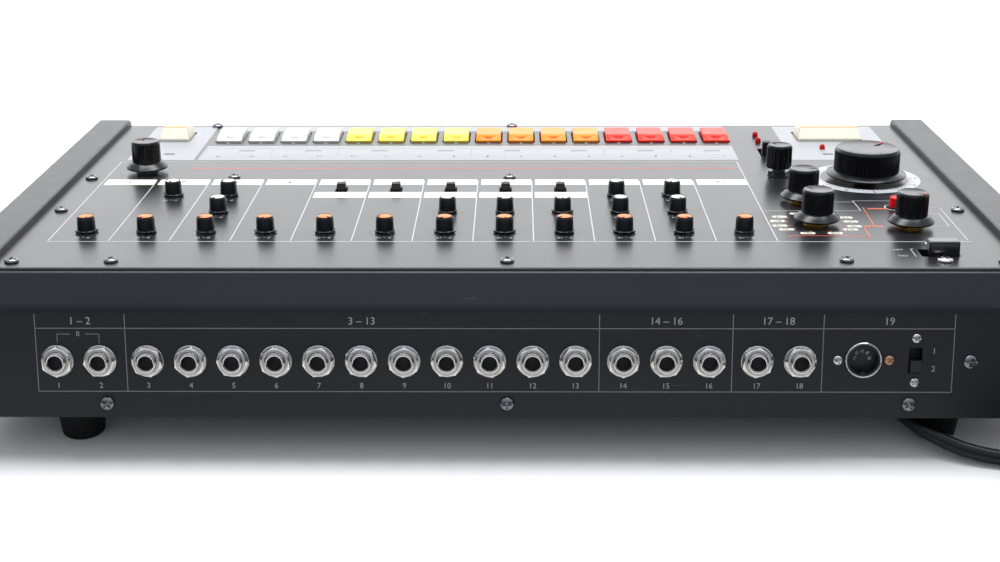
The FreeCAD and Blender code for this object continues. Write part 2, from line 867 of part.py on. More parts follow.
def make_lamps():
    profile = [(0, -board_depth), (lamp_stem_radius, -board_depth), (lamp_stem_radius, -lamp_collar_depth)]
    profile += [(lamp_radius, -lamp_collar_depth), (lamp_radius, lamp_edge_height)]
    profile += [(lamp_crown_radius, lamp_crown_height), (0, lamp_height)]
    return group(placed(turned(x, y, profile), panel_frame) for x, y in lamp_places)


# Knobs and levers
def small_knob(place, pointer):
    x, y = place
    base = small_knob_gap
    flange_top = base + small_knob_flange_thickness
    cap_floor = small_knob_height - small_cap_recess
    profile = [(0, base), (small_knob_flange_radius, base), (small_knob_flange_radius, flange_top)]
    profile.append((small_knob_waist_radius, flange_top + small_knob_flange_slope))
    profile.append((small_knob_top_radius, small_knob_height - small_knob_bevel))
    profile.append((small_cap_radius, small_knob_height))
    profile += [(small_cap_radius - small_cap_taper, cap_floor), (0, cap_floor)]
    knob = turned(x, y, profile).cut(pointer_groove(x, y, cap_floor, small_cap_radius, pointer))
    return fused(knob, knob_shaft(x, y, base + join_overlap))


def knob_shaft(x, y, top):
    return cylinder(x, y, -board_depth + shaft_end_gap, top, shaft_radius)


def fluted_barrel(x, y, low_z, high_z, radius, depth, flutes):
    radii = []
    for _ in range(flutes):
        radii += [radius, radius, radius - depth]
    return polygon_prism(x, y, low_z, high_z, radii)


def pointer_groove(x, y, top_z, radius, pointer):
    low = (-groove_width / 2, radius * groove_start_share, top_z - groove_depth)
    groove = block(low, (groove_width / 2, radius + cut_past, top_z + cut_past))
    groove.rotate(Vector(), Vector(0, 0, 1), -pointer)
    groove.translate(Vector(x, y, 0))
    return groove


def skirt(x, y, radius, bottom, rim, inner_radius, top):
    profile = [(0, bottom), (radius, bottom), (radius, bottom + rim), (inner_radius, top), (0, top)]
    return turned(x, y, profile)


# A fluted barrel under a bevelled crown, which carries the pointer's groove
def barrel_with_crown(x, y, low_z, height, radius, flutes, pointer):
    crown_low = height - knob_top_bevel
    crown_radius = radius - knob_flute_depth
    barrel = fluted_barrel(x, y, low_z, crown_low, radius, knob_flute_depth, flutes)
    profile = [(0, crown_low), (crown_radius, crown_low), (crown_radius - knob_top_bevel, height)]
    crown = turned(x, y, profile + [(0, height)])
    return fused(barrel, crown).cut(pointer_groove(x, y, height, crown_radius, pointer))


def skirted_knob(place, pointer):
    x, y = place
    outline = (knob_skirt_radius, knob_skirt_bottom, knob_skirt_rim, knob_barrel_radius, knob_skirt_top)
    base = skirt(x, y, *outline)
    barrel = barrel_with_crown(x, y, knob_hollow_top, knob_height, knob_barrel_radius, knob_flutes, pointer)
    knob = fused(base, barrel).cut(cylinder(x, y, 0, knob_hollow_top, knob_hollow_radius))
    return fused(knob, knob_shaft(x, y, knob_hollow_top + join_overlap))


def make_tempo_dial():
    x, y = tempo_place
    outline = (tempo_skirt_radius, tempo_skirt_bottom, tempo_skirt_rim, tempo_barrel_radius, tempo_skirt_top)
    base = skirt(x, y, *outline)
    size = (tempo_hollow_top, tempo_height, tempo_barrel_radius, tempo_flutes, tempo_pointer)
    hollow = cylinder(x, y, 0, tempo_hollow_top, tempo_hollow_radius)
    dial = fused(base, barrel_with_crown(x, y, *size)).cut(hollow)
    return fused(dial, knob_shaft(x, y, tempo_hollow_top + join_overlap))


def make_fine_knob():
    x, y = fine_place
    size = (fine_barrel_bottom, fine_height, fine_barrel_radius, knob_flutes, fine_pointer)
    return fused(barrel_with_crown(x, y, *size), knob_shaft(x, y, fine_barrel_bottom + join_overlap))


def lever(x, y, width, length, height):
    return centred_block(x, y, width, length, -slide_depth, height)


def soften(solid, radius, low):
    return rounded(solid, radius, lambda edge: edge.BoundBox.ZMin > low)


# The square stem under a key or button, which stops short of its switch's floor when it is down
def key_stem(x, y, travel):
    low = well_bottom + key_bottom_gap + travel
    return centred_block(x, y, key_stem_side, key_stem_side, low, -key_skirt_depth)


# A cap that slopes up from its rear edge to a ridge and runs level from there
def sloped_cap(x, rear, width, length, slope_length, rear_height, height):
    front = rear - length
    corners = [Vector(0, rear, -key_skirt_depth), Vector(0, rear, rear_height)]
    corners += [Vector(0, rear - slope_length, height), Vector(0, front, height)]
    corners.append(Vector(0, front, -key_skirt_depth))
    cap = prism(corners, Vector(width, 0, 0))
    cap.translate(Vector(x - width / 2, 0, 0))
    cap = soften(cap, key_edge_round, 0)
    return fused(cap, key_stem(x, rear - length / 2, key_travel))


def make_step_key(x, y):
    return sloped_cap(x, y, key_width, key_length, key_slope_length, key_rear_height, key_height)


def make_button(x, width, height):
    size = (width, button_length, button_slope_length, button_rear_height, height)
    return sloped_cap(x, -button_rear_row, *size)


def make_clear_button():
    x, y = clear_place
    cap = soften(cylinder(x, y, -key_skirt_depth, clear_height, clear_radius), key_edge_round, 0)
    return fused(cap, key_stem(x, y, clear_travel))


def make_power_lever():
    handle = centred_block(*power_place, power_width, power_length, -power_depth, power_height)
    return soften(handle, power_edge_round, 0)


def make_sync_lever():
    y = sync_row - sync_travel / 2
    low = -rear_sheet - slide_depth
    return centred_block(-sync_x, y, sync_lever_width, sync_lever_height, low, sync_lever_reach)


# Boards and transformer inside
def make_boards():
    solids = [panel_board(), voice_board(), jack_board()]
    return group(solids + voice_board_pillars() + voice_board_chips())


def panel_board():
    rear = -(flange_length + board_margin)
    front = -(panel_length - board_margin)
    half = inner_width / 2 - board_margin
    board = block((-half, front, -board_depth - board_thickness), (half, rear, -board_depth))
    low = -board_depth - 2 * board_thickness
    high = -board_depth + board_thickness
    drums = [(*place, panel_control_radius) for place in (tempo_place, fine_place)]
    drums += [(*place, rotary_switch_radius) for place in (mode_place, instrument_place, fill_place)]
    cuts = [cylinder(x, y, low, high, radius + board_clearance) for x, y, radius in drums]
    return placed(board.cut(cuts), panel_frame)


def voice_board():
    low = tray_top_z + pillar_height
    corner = (voice_board_left, voice_board_front, low)
    return block(corner, (voice_board_right, voice_board_rear, low + board_thickness))


def voice_board_pillars():
    pillars = []
    for x in (voice_board_left + pillar_inset, voice_board_right - pillar_inset):
        for y in (voice_board_front + pillar_inset, voice_board_rear - pillar_inset):
            pillars.append(cylinder(x, y, tray_top_z, tray_top_z + pillar_height, pillar_radius))
    return pillars


def voice_board_chips():
    chips = []
    low = tray_top_z + pillar_height + board_thickness
    step_x = (voice_board_right - voice_board_left) / chip_columns
    step_y = (voice_board_rear - voice_board_front) / chip_rows
    for column in range(chip_columns):
        for row in range(chip_rows):
            x = voice_board_left + (column + 0.5) * step_x
            y = voice_board_front + (row + 0.5) * step_y
            chips.append(centred_block(x, y, chip_length, chip_width, low, low + chip_height))
    return chips


def jack_board():
    half = jack_first_x + jack_body_width / 2
    low = (-half, jack_board_low, -jack_body_depth - board_thickness)
    return placed(block(low, (half, jack_board_high, -jack_body_depth)), rear_frame)


def make_transformer():
    core_low = tray_top_z + transformer_foot_thickness
    x = transformer_x
    y = transformer_y
    core = centred_block(x, y, transformer_width, transformer_depth, core_low, core_low + transformer_height)
    coil_low = core_low + transformer_frame / 2
    coil_high = core_low + transformer_height - transformer_frame / 2
    coil_width = transformer_width - 2 * transformer_frame
    coil_depth = transformer_depth + 2 * transformer_coil_bulge
    coil = centred_block(x, y, coil_width, coil_depth, coil_low, coil_high)
    foot_width = transformer_width + 2 * transformer_foot
    foot = centred_block(x, y, foot_width, transformer_depth, tray_top_z, core_low)
    return fused(core, coil, foot)


# Mains lead
def heading_step(heading, length):
    angle = math.radians(heading)
    return Vector(length * math.cos(angle), length * math.sin(angle), 0)


def gland_tip():
    start = Vector(gland_x, gland_y + gland_block_length / 2, gland_z)
    return start + heading_step(gland_heading, gland_sleeve_length)


def make_gland():
    half_width = gland_block_width / 2
    half_length = gland_block_length / 2
    low = (gland_x - half_width, gland_y - half_length, foot_height - gland_block_depth)
    grip = block(low, (gland_x + half_width, gland_y + half_length, foot_height))
    neck_top = tray_top_z + gland_neck_rise
    neck = cylinder(gland_x, gland_y, foot_height - join_overlap, neck_top, gland_neck_radius)
    grip = fused(grip, neck)
    direction = heading_step(gland_heading, 1)
    buried = gland_sleeve_radius / 2
    start = Vector(gland_x, gland_y + half_length, gland_z) - direction * buried
    length = gland_sleeve_length + buried
    sleeve = Part.makeCone(gland_sleeve_radius, gland_tip_radius, length, start, direction)
    return fused(grip, sleeve)


# The cord's route on the floor, from the grip round the rear foot to its coil
cord_points = [
    gland_tip(),
    Vector(-181.2, 130.1, 11.8),
    Vector(-186.6, 141.3, 10.6),
    Vector(-195.4, 151.0, 8.2),
    Vector(-207.5, 158.0, 5.4),
    Vector(-220.9, 162.1, 4.0),
    Vector(-234.6, 164.3, 3.7),
    Vector(-248.5, 164.7, 3.7),
]


# A round tube on straight runs joined by arcs that touch both runs
def make_cord():
    edges = []
    here = cord_points[0]
    for before, corner, after in zip(cord_points, cord_points[1:], cord_points[2:]):
        back = before - corner
        on = after - corner
        reach = arc_share * min(back.Length, on.Length)
        turn = math.pi - back.getAngle(on)
        radius = reach / math.tan(turn / 2)
        print("cord radius", round(radius, 1))
        start = corner + back.normalize() * reach
        end = corner + on.normalize() * reach
        inward = (back + on).normalize()
        middle = corner + inward * (radius / math.cos(turn / 2) - radius)
        edges += [Part.LineSegment(here, start).toShape(), Part.Arc(start, middle, end).toShape()]
        here = end
    edges.append(Part.LineSegment(here, cord_points[-1]).toShape())
    path = Part.Wire(edges)
    direction = cord_points[1] - cord_points[0]
    ring = Part.Wire(Part.makeCircle(cord_radius, cord_points[0], direction))
    tube = path.makePipeShell([ring], True, False)
    share = tube.Volume / (math.pi * cord_radius ** 2 * path.Length)
    print("cord tube", round(path.Length, 1), "mm long, volume over section times length", round(share, 4))
    return tube


def make_coil():
    half_width = coil_turns_wide * cord_diameter / 2
    height = coil_turns_high * cord_diameter
    inner = coil_mean_radius - half_width
    outer = coil_mean_radius + half_width
    ring = turned(coil_x, coil_y, [(inner, 0), (outer, 0), (outer, height), (inner, height)])

    def round_edge(edge):
        return edge.BoundBox.ZMax - edge.BoundBox.ZMin < 0.01 and edge.BoundBox.XLength > inner
    return rounded(ring, coil_round, round_edge)


def make_plug():
    low = (plug_x - plug_width / 2, plug_y, 0)
    body = block(low, (plug_x + plug_width / 2, plug_y + plug_length, plug_height))
    body = rounded(body, plug_round, lambda edge: edge.BoundBox.YLength > 1)
    middle = plug_height / 2
    start = Vector(plug_x, plug_y - plug_sleeve_length, middle)
    length = plug_sleeve_length + join_overlap
    sleeve = Part.makeCone(gland_tip_radius, gland_sleeve_radius, length, start, Vector(0, 1, 0))
    front = plug_y + plug_length
    blades = []
    for side in (-1, 1):
        x = plug_x + side * plug_blade_gap / 2
        low = (x - plug_blade_thickness / 2, front - join_overlap, middle - plug_blade_width / 2)
        high = (x + plug_blade_thickness / 2, front + plug_blade_length, middle + plug_blade_width / 2)
        blades.append(block(low, high))
    return fused(body, sleeve, *blades)


add("bottom_tray", make_bottom_tray())
add("rear_panel", make_rear_panel())
add("top_panel", make_top_panel())
add("left_cheek", make_cheek(-1))
add("right_cheek", make_cheek(1))
add("rubber_feet", make_feet())
add("case_screws", make_screws())
add("jack_sockets", make_jacks())
add("jack_nuts", make_jack_nuts())
add("din_socket", make_din_socket())
add("potentiometers", make_potentiometers())
add("panel_switches", make_panel_switches())
add("indicator_lamps", make_lamps())
add("circuit_boards", make_boards())
add("mains_transformer", make_transformer())
for number, (place, pointer) in enumerate(zip(level_places, level_pointers), 1):
    add(f"level_knob_{number:02d}", placed(small_knob(place, pointer), panel_frame))
tone_knobs = [small_knob(place, pointer) for place, pointer in zip(tone_places, tone_pointers)]
add("tone_knobs", placed(group(tone_knobs), panel_frame))
add("volume_knob", placed(skirted_knob(volume_place, volume_pointer), panel_frame))
add("mode_knob", placed(skirted_knob(mode_place, mode_pointer), panel_frame))
add("instrument_knob", placed(skirted_knob(instrument_place, instrument_pointer), panel_frame))
add("fill_knob", placed(skirted_knob(fill_place, fill_pointer), panel_frame))
add("tempo_dial", placed(make_tempo_dial(), panel_frame))
add("fine_tempo_knob", placed(make_fine_knob(), panel_frame))
for number, place in enumerate(key_places, 1):
    add(f"step_key_{number:02d}", placed(make_step_key(*place), panel_frame))
add("start_button", placed(make_button(start_x, start_width, start_height), panel_frame))
add("tap_button", placed(make_button(tap_x, tap_width, tap_height), panel_frame))
add("clear_button", placed(make_clear_button(), panel_frame))
levers = [lever(x, y, slide_width, slide_length, slide_height) for x, y in slide_places]
levers.append(lever(*variation_place, slide_width, slide_length, variation_height))
add("slide_levers", placed(group(levers), panel_frame))
add("power_lever", placed(make_power_lever(), panel_frame))
add("sync_lever", placed(make_sync_lever(), rear_frame))
add("cord_grip", make_gland())
add("power_cord", make_cord())
add("cord_coil", make_coil())
add("power_plug", make_plug())

os.makedirs("parts", exist_ok=True)
for name, shape in parts.items():
    shape.exportStep(f"parts/{name}.step")
print(len(parts), "nodes")
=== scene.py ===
import math
import random

import bmesh
import bpy
from mathutils import Matrix, Vector


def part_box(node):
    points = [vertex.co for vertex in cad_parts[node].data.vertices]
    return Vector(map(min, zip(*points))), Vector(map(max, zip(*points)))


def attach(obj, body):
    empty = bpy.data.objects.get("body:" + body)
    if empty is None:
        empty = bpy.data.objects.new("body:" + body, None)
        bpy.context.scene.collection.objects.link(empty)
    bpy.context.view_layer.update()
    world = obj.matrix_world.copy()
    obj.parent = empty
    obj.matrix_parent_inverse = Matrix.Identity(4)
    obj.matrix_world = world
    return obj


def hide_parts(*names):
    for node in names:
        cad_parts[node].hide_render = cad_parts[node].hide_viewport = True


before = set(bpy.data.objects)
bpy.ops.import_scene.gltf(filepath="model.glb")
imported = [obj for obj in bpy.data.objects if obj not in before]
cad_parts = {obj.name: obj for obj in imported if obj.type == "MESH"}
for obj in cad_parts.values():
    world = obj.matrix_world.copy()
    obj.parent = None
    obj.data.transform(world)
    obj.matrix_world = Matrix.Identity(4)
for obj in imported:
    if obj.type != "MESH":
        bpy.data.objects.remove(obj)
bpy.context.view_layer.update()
print("frame loaded:", len(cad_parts), "nodes")

mm = 0.001
random.seed(12)

# The panel's own axes: x to the user's right, y up the slope from its rear edge, z out of it
panel = {"slope": 7.0, "sheet": 1.5, "edgeRound": 1.2}
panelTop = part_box("top_panel")[1]
panelEdgeY = panelTop.y - panel["sheet"] * mm * math.sin(math.radians(panel["slope"]))
panelLean = Vector((math.cos(math.radians(panel["slope"])), math.sin(math.radians(panel["slope"]))))
panelEdgeZ = panelTop.z + panel["edgeRound"] * mm * (panelLean.x + panelLean.y - 1)
panelPlace = Matrix.Translation((0, panelEdgeY, panelEdgeZ)) @ Matrix.Rotation(math.radians(panel["slope"]), 4, "X")

# The rear face's own axes: x to the left of the user, y up the face, z outwards
rear = {"lean": 13.5, "footHeight": 18.0}
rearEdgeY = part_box("rear_panel")[1].y
rearTurn = Matrix.Rotation(math.radians(rear["lean"] - 90), 4, "X") @ Matrix.Rotation(math.pi, 4, "Z")
rearPlace = Matrix.Translation((0, rearEdgeY, rear["footHeight"] * mm)) @ rearTurn


# Camera, at the photograph's viewing angle from behind the machine
camera = {"place": (-4.49, 774.68, 389.98), "yaw": 0.68, "down": 25.91, "roll": -0.27, "lens": 57.04}


def addCamera():
    yaw = math.radians(camera["yaw"])
    down = math.radians(camera["down"])
    ahead = Vector((math.sin(yaw) * math.cos(down), -math.cos(yaw) * math.cos(down), -math.sin(down)))
    turn = ahead.to_track_quat("-Z", "Y").to_matrix().to_4x4()
    data = bpy.data.cameras.new("camera")
    data.lens = camera["lens"]
    data.sensor_width = 36
    data.clip_start = 0.01
    view = bpy.data.objects.new("camera", data)
    bpy.context.collection.objects.link(view)
    place = Matrix.Translation(Vector(camera["place"]) * mm)
    view.matrix_world = place @ turn @ Matrix.Rotation(math.radians(camera["roll"]), 4, "Z")
    bpy.context.scene.camera = view


addCamera()
print("camera placed")


# One socket of a material's nodes, with maths on it
class Signal:
    def __init__(self, tree, socket=None):
        self.tree = tree
        self.socket = socket

    def make(self, kind, settings, values, output=0):
        node = self.tree.nodes.new(kind)
        for key, value in settings.items():
            if key == "stops":
                self.setStops(node.color_ramp, value)
            else:
                setattr(node, key, value)
        for key, value in values.items():
            if isinstance(value, Signal):
                self.tree.links.new(value.socket, node.inputs[key])
            else:
                node.inputs[key].default_value = value
        return Signal(self.tree, node.outputs[output])

    def setStops(self, ramp, stops):
        while len(ramp.elements) < len(stops):
            ramp.elements.new(1)
        for element, (position, colour) in zip(ramp.elements, stops):
            element.position = position
            element.color = colour

    def maths(self, operation, first, second=0.0):
        return self.make("ShaderNodeMath", {"operation": operation}, {0: first, 1: second})

    def __add__(self, other):
        return self.maths("ADD", self, other)

    def __sub__(self, other):
        return self.maths("SUBTRACT", self, other)

    def __rsub__(self, other):
        return self.maths("SUBTRACT", other, self)

    def __mul__(self, other):
        return self.maths("MULTIPLY", self, other)

    def __truediv__(self, other):
        return self.maths("DIVIDE", self, other)

    def __gt__(self, other):
        return self.maths("GREATER_THAN", self, other)

    def __lt__(self, other):
        return self.maths("LESS_THAN", self, other)

    __radd__ = __add__
    __rmul__ = __mul__

    def root(self):
        return self.maths("SQRT", self)

    def size(self):
        return self.maths("ABSOLUTE", self)

    # 0 below low, 1 above high and a smooth step between
    def between(self, low, high):
        values = {"Value": self, "From Min": low, "From Max": high}
        return self.make("ShaderNodeMapRange", {"interpolation_type": "SMOOTHSTEP"}, values)

    def part(self, axis):
        return self.make("ShaderNodeSeparateXYZ", {}, {0: self}, axis)

    def stretched(self, scale, turn=(0, 0, 0), shift=(0, 0, 0)):
        return self.make("ShaderNodeMapping", {}, {"Vector": self, "Scale": scale, "Rotation": turn, "Location": shift})

    def noise(self, scale, detail=2.0, roughness=0.5):
        values = {"Vector": self, "Scale": scale, "Detail": detail, "Roughness": roughness}
        return self.make("ShaderNodeTexNoise", {}, values, "Fac")

    def cells(self, scale, feature="F1"):
        return self.make("ShaderNodeTexVoronoi", {"feature": feature}, {"Vector": self, "Scale": scale}, "Distance")

    def ramp(self, *stops):
        return self.make("ShaderNodeValToRGB", {"stops": stops}, {0: self})

    def blend(self, low, high):
        node = self.tree.nodes.new("ShaderNodeMix")
        node.data_type = "RGBA"
        for socket, value in ((node.inputs[0], self), (node.inputs[6], low), (node.inputs[7], high)):
            if isinstance(value, Signal):
                self.tree.links.new(value.socket, socket)
            else:
                socket.default_value = value
        return Signal(self.tree, node.outputs[2])

    def bumped(self, strength, distance, normal=None):
        values = {"Height": self, "Strength": strength, "Distance": distance}
        if normal:
            values["Normal"] = normal
        return self.make("ShaderNodeBump", {}, values)

    def softEdge(self, radius):
        return self.make("ShaderNodeBevel", {"samples": 4}, {"Radius": radius})


def shade(red, green, blue):
    return (red, green, blue, 1.0)


# Builds a material: fixed values on the shader's own sockets, and what paint makes of the object's coordinates
def newMaterial(name, fixed, paint):
    material = bpy.data.materials.new(name)
    material.use_nodes = True
    tree = material.node_tree
    shader = tree.nodes["Principled BSDF"]
    for key, value in fixed.items():
        shader.inputs[key].default_value = value
    place = Signal(tree).make("ShaderNodeTexCoord", {}, {}, "Object")
    for key, signal in paint(place).items():
        tree.links.new(signal.socket, shader.inputs[key])
    return material


# Fine grit, dust and short scratches that lie over a painted or moulded surface
def wear(place, dustScale, dustAmount, scratchAmount):
    specks = (place.cells(dustScale) < dustAmount)
    patches = place.noise(35, 3).between(0.45, 0.7)
    long = place.stretched((60, 900, 900), (0.3, 0.2, 0.7)).noise(1.0, 2)
    across = place.stretched((900, 70, 900), (0.1, 0.5, -0.4)).noise(1.0, 2)
    scratches = long.between(1 - scratchAmount, 1.03 - scratchAmount) + across.between(1 - scratchAmount, 1.03 - scratchAmount)
    return specks * patches, scratches


casePaint = {"colour": shade(0.011, 0.0112, 0.0145), "dust": shade(0.2, 0.21, 0.23), "roughness": 0.3, "edge": 0.7}


def makeCasePaint(name, colour, roughness, edgeRadius, texture, shine):
    def paint(place):
        specks, scratches = wear(place, 420, 0.07, 0.26)
        marks = (specks * 0.75 + scratches * 0.2)
        tone = place.noise(9, 4).between(0.3, 0.8)
        worn = tone.blend(colour, shade(*[part * 1.35 for part in colour[:3]]))
        grain = place.noise(texture["scale"], 2, 0.6)
        soft = grain.softEdge(edgeRadius * mm)
        rough = place.noise(60, 2).between(0.2, 0.9) * 0.02 + (roughness - 0.01) + marks * 0.12
        return {
            "Base Color": marks.blend(worn, casePaint["dust"]),
            "Roughness": rough,
            "Normal": grain.bumped(texture["strength"], texture["depth"] * mm, soft),
        }
    return newMaterial(name, {"Specular IOR Level": shine}, paint)


print("shader tools ready")


# Modelling by hand: small steps that the pieces below share
def clearSelection():
    if bpy.context.object and bpy.context.object.mode != "OBJECT":
        bpy.ops.object.mode_set(mode="OBJECT")
    bpy.ops.object.select_all(action="DESELECT")


def makeActive(piece):
    clearSelection()
    piece.select_set(True)
    bpy.context.view_layer.objects.active = piece


# A round face to grow a turned shape from, left in edit mode with the face selected
def startDisc(name, radius, height, sides):
    clearSelection()
    bpy.ops.mesh.primitive_circle_add(vertices=sides, radius=radius * mm, fill_type="NGON")
    piece = bpy.context.object
    piece.name = name
    bpy.ops.object.mode_set(mode="EDIT")
    bpy.ops.mesh.select_mode(type="FACE")
    bpy.ops.mesh.select_all(action="SELECT")
    bpy.ops.transform.translate(value=(0, 0, height * mm))
    return piece


def growDisc(profile):
    for (radius, height), (nextRadius, nextHeight) in zip(profile, profile[1:]):
        move = {"value": (0, 0, (nextHeight - height) * mm)}
        bpy.ops.mesh.extrude_region_move(TRANSFORM_OT_translate=move)
        share = nextRadius / radius
        bpy.ops.transform.resize(value=(share, share, 1), center_override=(0, 0, 0))


def selectWhere(piece, wanted, kind="VERT"):
    bpy.ops.mesh.select_mode(type=kind)
    bpy.ops.mesh.select_all(action="DESELECT")
    edit = bmesh.from_edit_mesh(piece.data)
    items = {"VERT": edit.verts, "EDGE": edit.edges, "FACE": edit.faces}[kind]
    for item in items:
        if wanted(item):
            item.select = True
    edit.select_flush_mode()
    bmesh.update_edit_mesh(piece.data)


def finishShape(piece, bevel=0.0, segments=2, smooth=35, flatFaces=False):
    bpy.ops.mesh.select_all(action="SELECT")
    bpy.ops.mesh.normals_make_consistent(inside=False)
    bpy.ops.object.mode_set(mode="OBJECT")
    if bevel:
        rounding = piece.modifiers.new("rounding", "BEVEL")
        rounding.width = bevel * mm
        rounding.segments = segments
        rounding.limit_method = "ANGLE"
        rounding.angle_limit = math.radians(10 if flatFaces else smooth)
        rounding.use_clamp_overlap = True
        bpy.ops.object.modifier_apply(modifier="rounding")
    bpy.ops.object.shade_smooth_by_angle(angle=math.radians(smooth))
    if flatFaces:
        piece.modifiers.new("flat", "WEIGHTED_NORMAL")
        bpy.ops.object.modifier_apply(modifier="flat")


# Moves the mesh, so that the object itself stays at the origin
def seat(piece, matrix):
    piece.data.transform(piece.matrix_world)
    piece.matrix_world = Matrix.Identity(4)
    piece.data.transform(matrix)
    piece.data.update()


def copyOf(piece, name):
    other = piece.copy()
    other.data = piece.data.copy()
    other.name = name
    bpy.context.collection.objects.link(other)
    return other


def onPanel(x, row, turn=0.0):
    return panelPlace @ Matrix.Translation((x * mm, -row * mm, 0)) @ Matrix.Rotation(math.radians(-turn), 4, "Z")


def onRear(x, row, turn=0.0):
    return rearPlace @ Matrix.Translation((-x * mm, row * mm, 0)) @ Matrix.Rotation(math.radians(turn), 4, "Z")


def wearPiece(piece, material, body):
    piece.data.materials.clear()
    piece.data.materials.append(material)
    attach(piece, body)


def dressNode(name, *materials):
    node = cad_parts[name]
    node.data.materials.clear()
    for material in materials:
        node.data.materials.append(material)


print("modelling tools ready")


# The mains lead: its route on the floor, then the turns of its coil, then the run into the plug
cord = {
    "diameter": 7.2, "length": 1690, "coilPlace": (-270.0, 210.5), "pointsInTurn": 14, "firstAngle": -80.0,
    "turns": [(48.2, 3.7), (40.8, 3.7), (33.4, 3.8), (33.6, 11.2), (40.9, 11.1), (37.0, 17.8), (48.0, 11.2)],
    "lastTurn": 0.22, "wander": 0.12,
}
cordRoute = [
    (-179.125, 117.821, 12.0),
    (-181.2, 130.1, 11.8),
    (-186.6, 141.3, 10.6),
    (-195.4, 151.0, 8.2),
    (-207.5, 158.0, 5.4),
    (-220.9, 162.1, 4.0),
    (-234.6, 164.3, 3.7),
    (-248.5, 164.7, 3.7),
]
plugRoute = [(-317.6, 209.0, 11.6), (-316.9, 220.0, 11.0), (-314.3, 230.0, 9.8), (-311.6, 239.0, 8.8), (-311.0, 248.0, 8.5)]


def easeBetween(share, low, high):
    late = min(max((share - low) / (high - low), 0), 1)
    return late * late * (3 - 2 * late)


# The turns spiral inwards on the floor, outwards on top, once round in the groove between two, and out again
def coilPoints():
    points = []
    count = cord["pointsInTurn"]
    turns = cord["turns"]
    middle = cord["coilPlace"]
    for step in range(round(count * (len(turns) - 1 + cord["lastTurn"]))):
        turn, share = divmod(step / count, 1)
        radius, height = turns[int(turn)]
        nextRadius, nextHeight = turns[min(int(turn) + 1, len(turns) - 1)]
        climbs = nextHeight > height
        radius += (nextRadius - radius) * (easeBetween(share, 0.75, 1) if climbs else easeBetween(share, 0.5, 0.9))
        height += (nextHeight - height) * (easeBetween(share, 0.5, 0.85) if climbs else easeBetween(share, 0.75, 1))
        radius += random.uniform(-1, 1) * cord["wander"]
        angle = math.radians(cord["firstAngle"] - 360 * step / count)
        points.append((middle[0] + radius * math.cos(angle), middle[1] + radius * math.sin(angle), height))
    return points


def makeCord():
    clearSelection()
    points = cordRoute + coilPoints() + plugRoute
    data = bpy.data.curves.new("mainsLead", "CURVE")
    data.dimensions = "3D"
    spline = data.splines.new("NURBS")
    spline.points.add(len(points) - 1)
    for knot, point in zip(spline.points, points):
        knot.co = (*(Vector(point) * mm), 1.0)
        knot.radius = cord["diameter"] / 2 * mm
    spline.order_u = 3
    spline.use_endpoint_u = True
    spline.resolution_u = 6
    data.bevel_depth = 1.0
    data.bevel_resolution = 5
    lead = bpy.data.objects.new("mainsLead", data)
    bpy.context.collection.objects.link(lead)
    return lead


lead = makeCord()
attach(lead, "case")
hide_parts("power_cord", "cord_coil")
print("cord laid")


# Finishes
plastic = {"knob": shade(0.005, 0.005, 0.006), "cheek": shade(0.02, 0.02, 0.023), "lever": shade(0.006, 0.006, 0.007)}


def makePlastic(name, colour, roughness, grainScale, grainDepth, edgeRadius=0.0, dust=0.05, fixed=None, paleLift=0.05):
    def paint(place):
        specks, scratches = wear(place, 700, dust, 0.24)
        marks = specks * 0.5 + scratches * 0.15
        pale = shade(*[min(part * 1.2 + paleLift, 1) for part in colour[:3]])
        grain = place.noise(grainScale, 3, 0.6)
        tone = place.noise(40, 2) * 0.25
        rough = place.noise(120, 2) * 0.1 + (roughness - 0.05)
        normal = grain.bumped(0.5, grainDepth * mm, grain.softEdge(edgeRadius * mm) if edgeRadius else None)
        return {"Base Color": (marks + tone * 0.4).blend(colour, pale), "Roughness": rough, "Normal": normal}
    return newMaterial(name, fixed or {}, paint)


def makeMetal(name, colour, dark, roughness, edgeRadius, grainScale=1400):
    def paint(place):
        stain = place.noise(150, 4, 0.65).between(0.58, 0.85)
        grain = place.noise(grainScale, 2)
        rough = place.noise(500, 3).between(0.3, 0.8) * 0.08 + roughness + stain * 0.1
        normal = grain.bumped(0.2, 0.006 * mm, grain.softEdge(edgeRadius * mm) if edgeRadius else None)
        return {"Base Color": stain.blend(colour, dark), "Roughness": rough, "Normal": normal}
    return newMaterial(name, {"Metallic": 1.0}, paint)


# The turning controls' nuts: brass on the left, dark steel at the three that sit further forward
def makeNutMetal():
    edge = panelEdgeY * panelLean.x + panelEdgeZ * panelLean.y

    def paint(place):
        along = place.part(1) * panelLean.x + place.part(2) * panelLean.y - edge
        rearward = along.between(-0.132, -0.128)
        stain = place.noise(150, 4, 0.65).between(0.4, 0.85)
        brass = stain.blend(shade(0.5, 0.3, 0.07), shade(0.16, 0.08, 0.02))
        return {"Base Color": rearward.blend(shade(0.12, 0.12, 0.125), brass), "Roughness": stain * 0.1 + 0.24,
                "Normal": place.noise(1400, 2).bumped(0.2, 0.006 * mm)}
    return newMaterial("controlNuts", {"Metallic": 1.0}, paint)


def makeInk(name, colour, faded):
    def paint(place):
        worn = place.noise(1600, 3, 0.7).between(0.48, 0.8)
        grain = place.noise(2600, 1)
        return {"Base Color": worn.blend(colour, faded), "Normal": grain.bumped(0.2, 0.01 * mm)}
    return newMaterial(name, {"Roughness": 0.45}, paint)


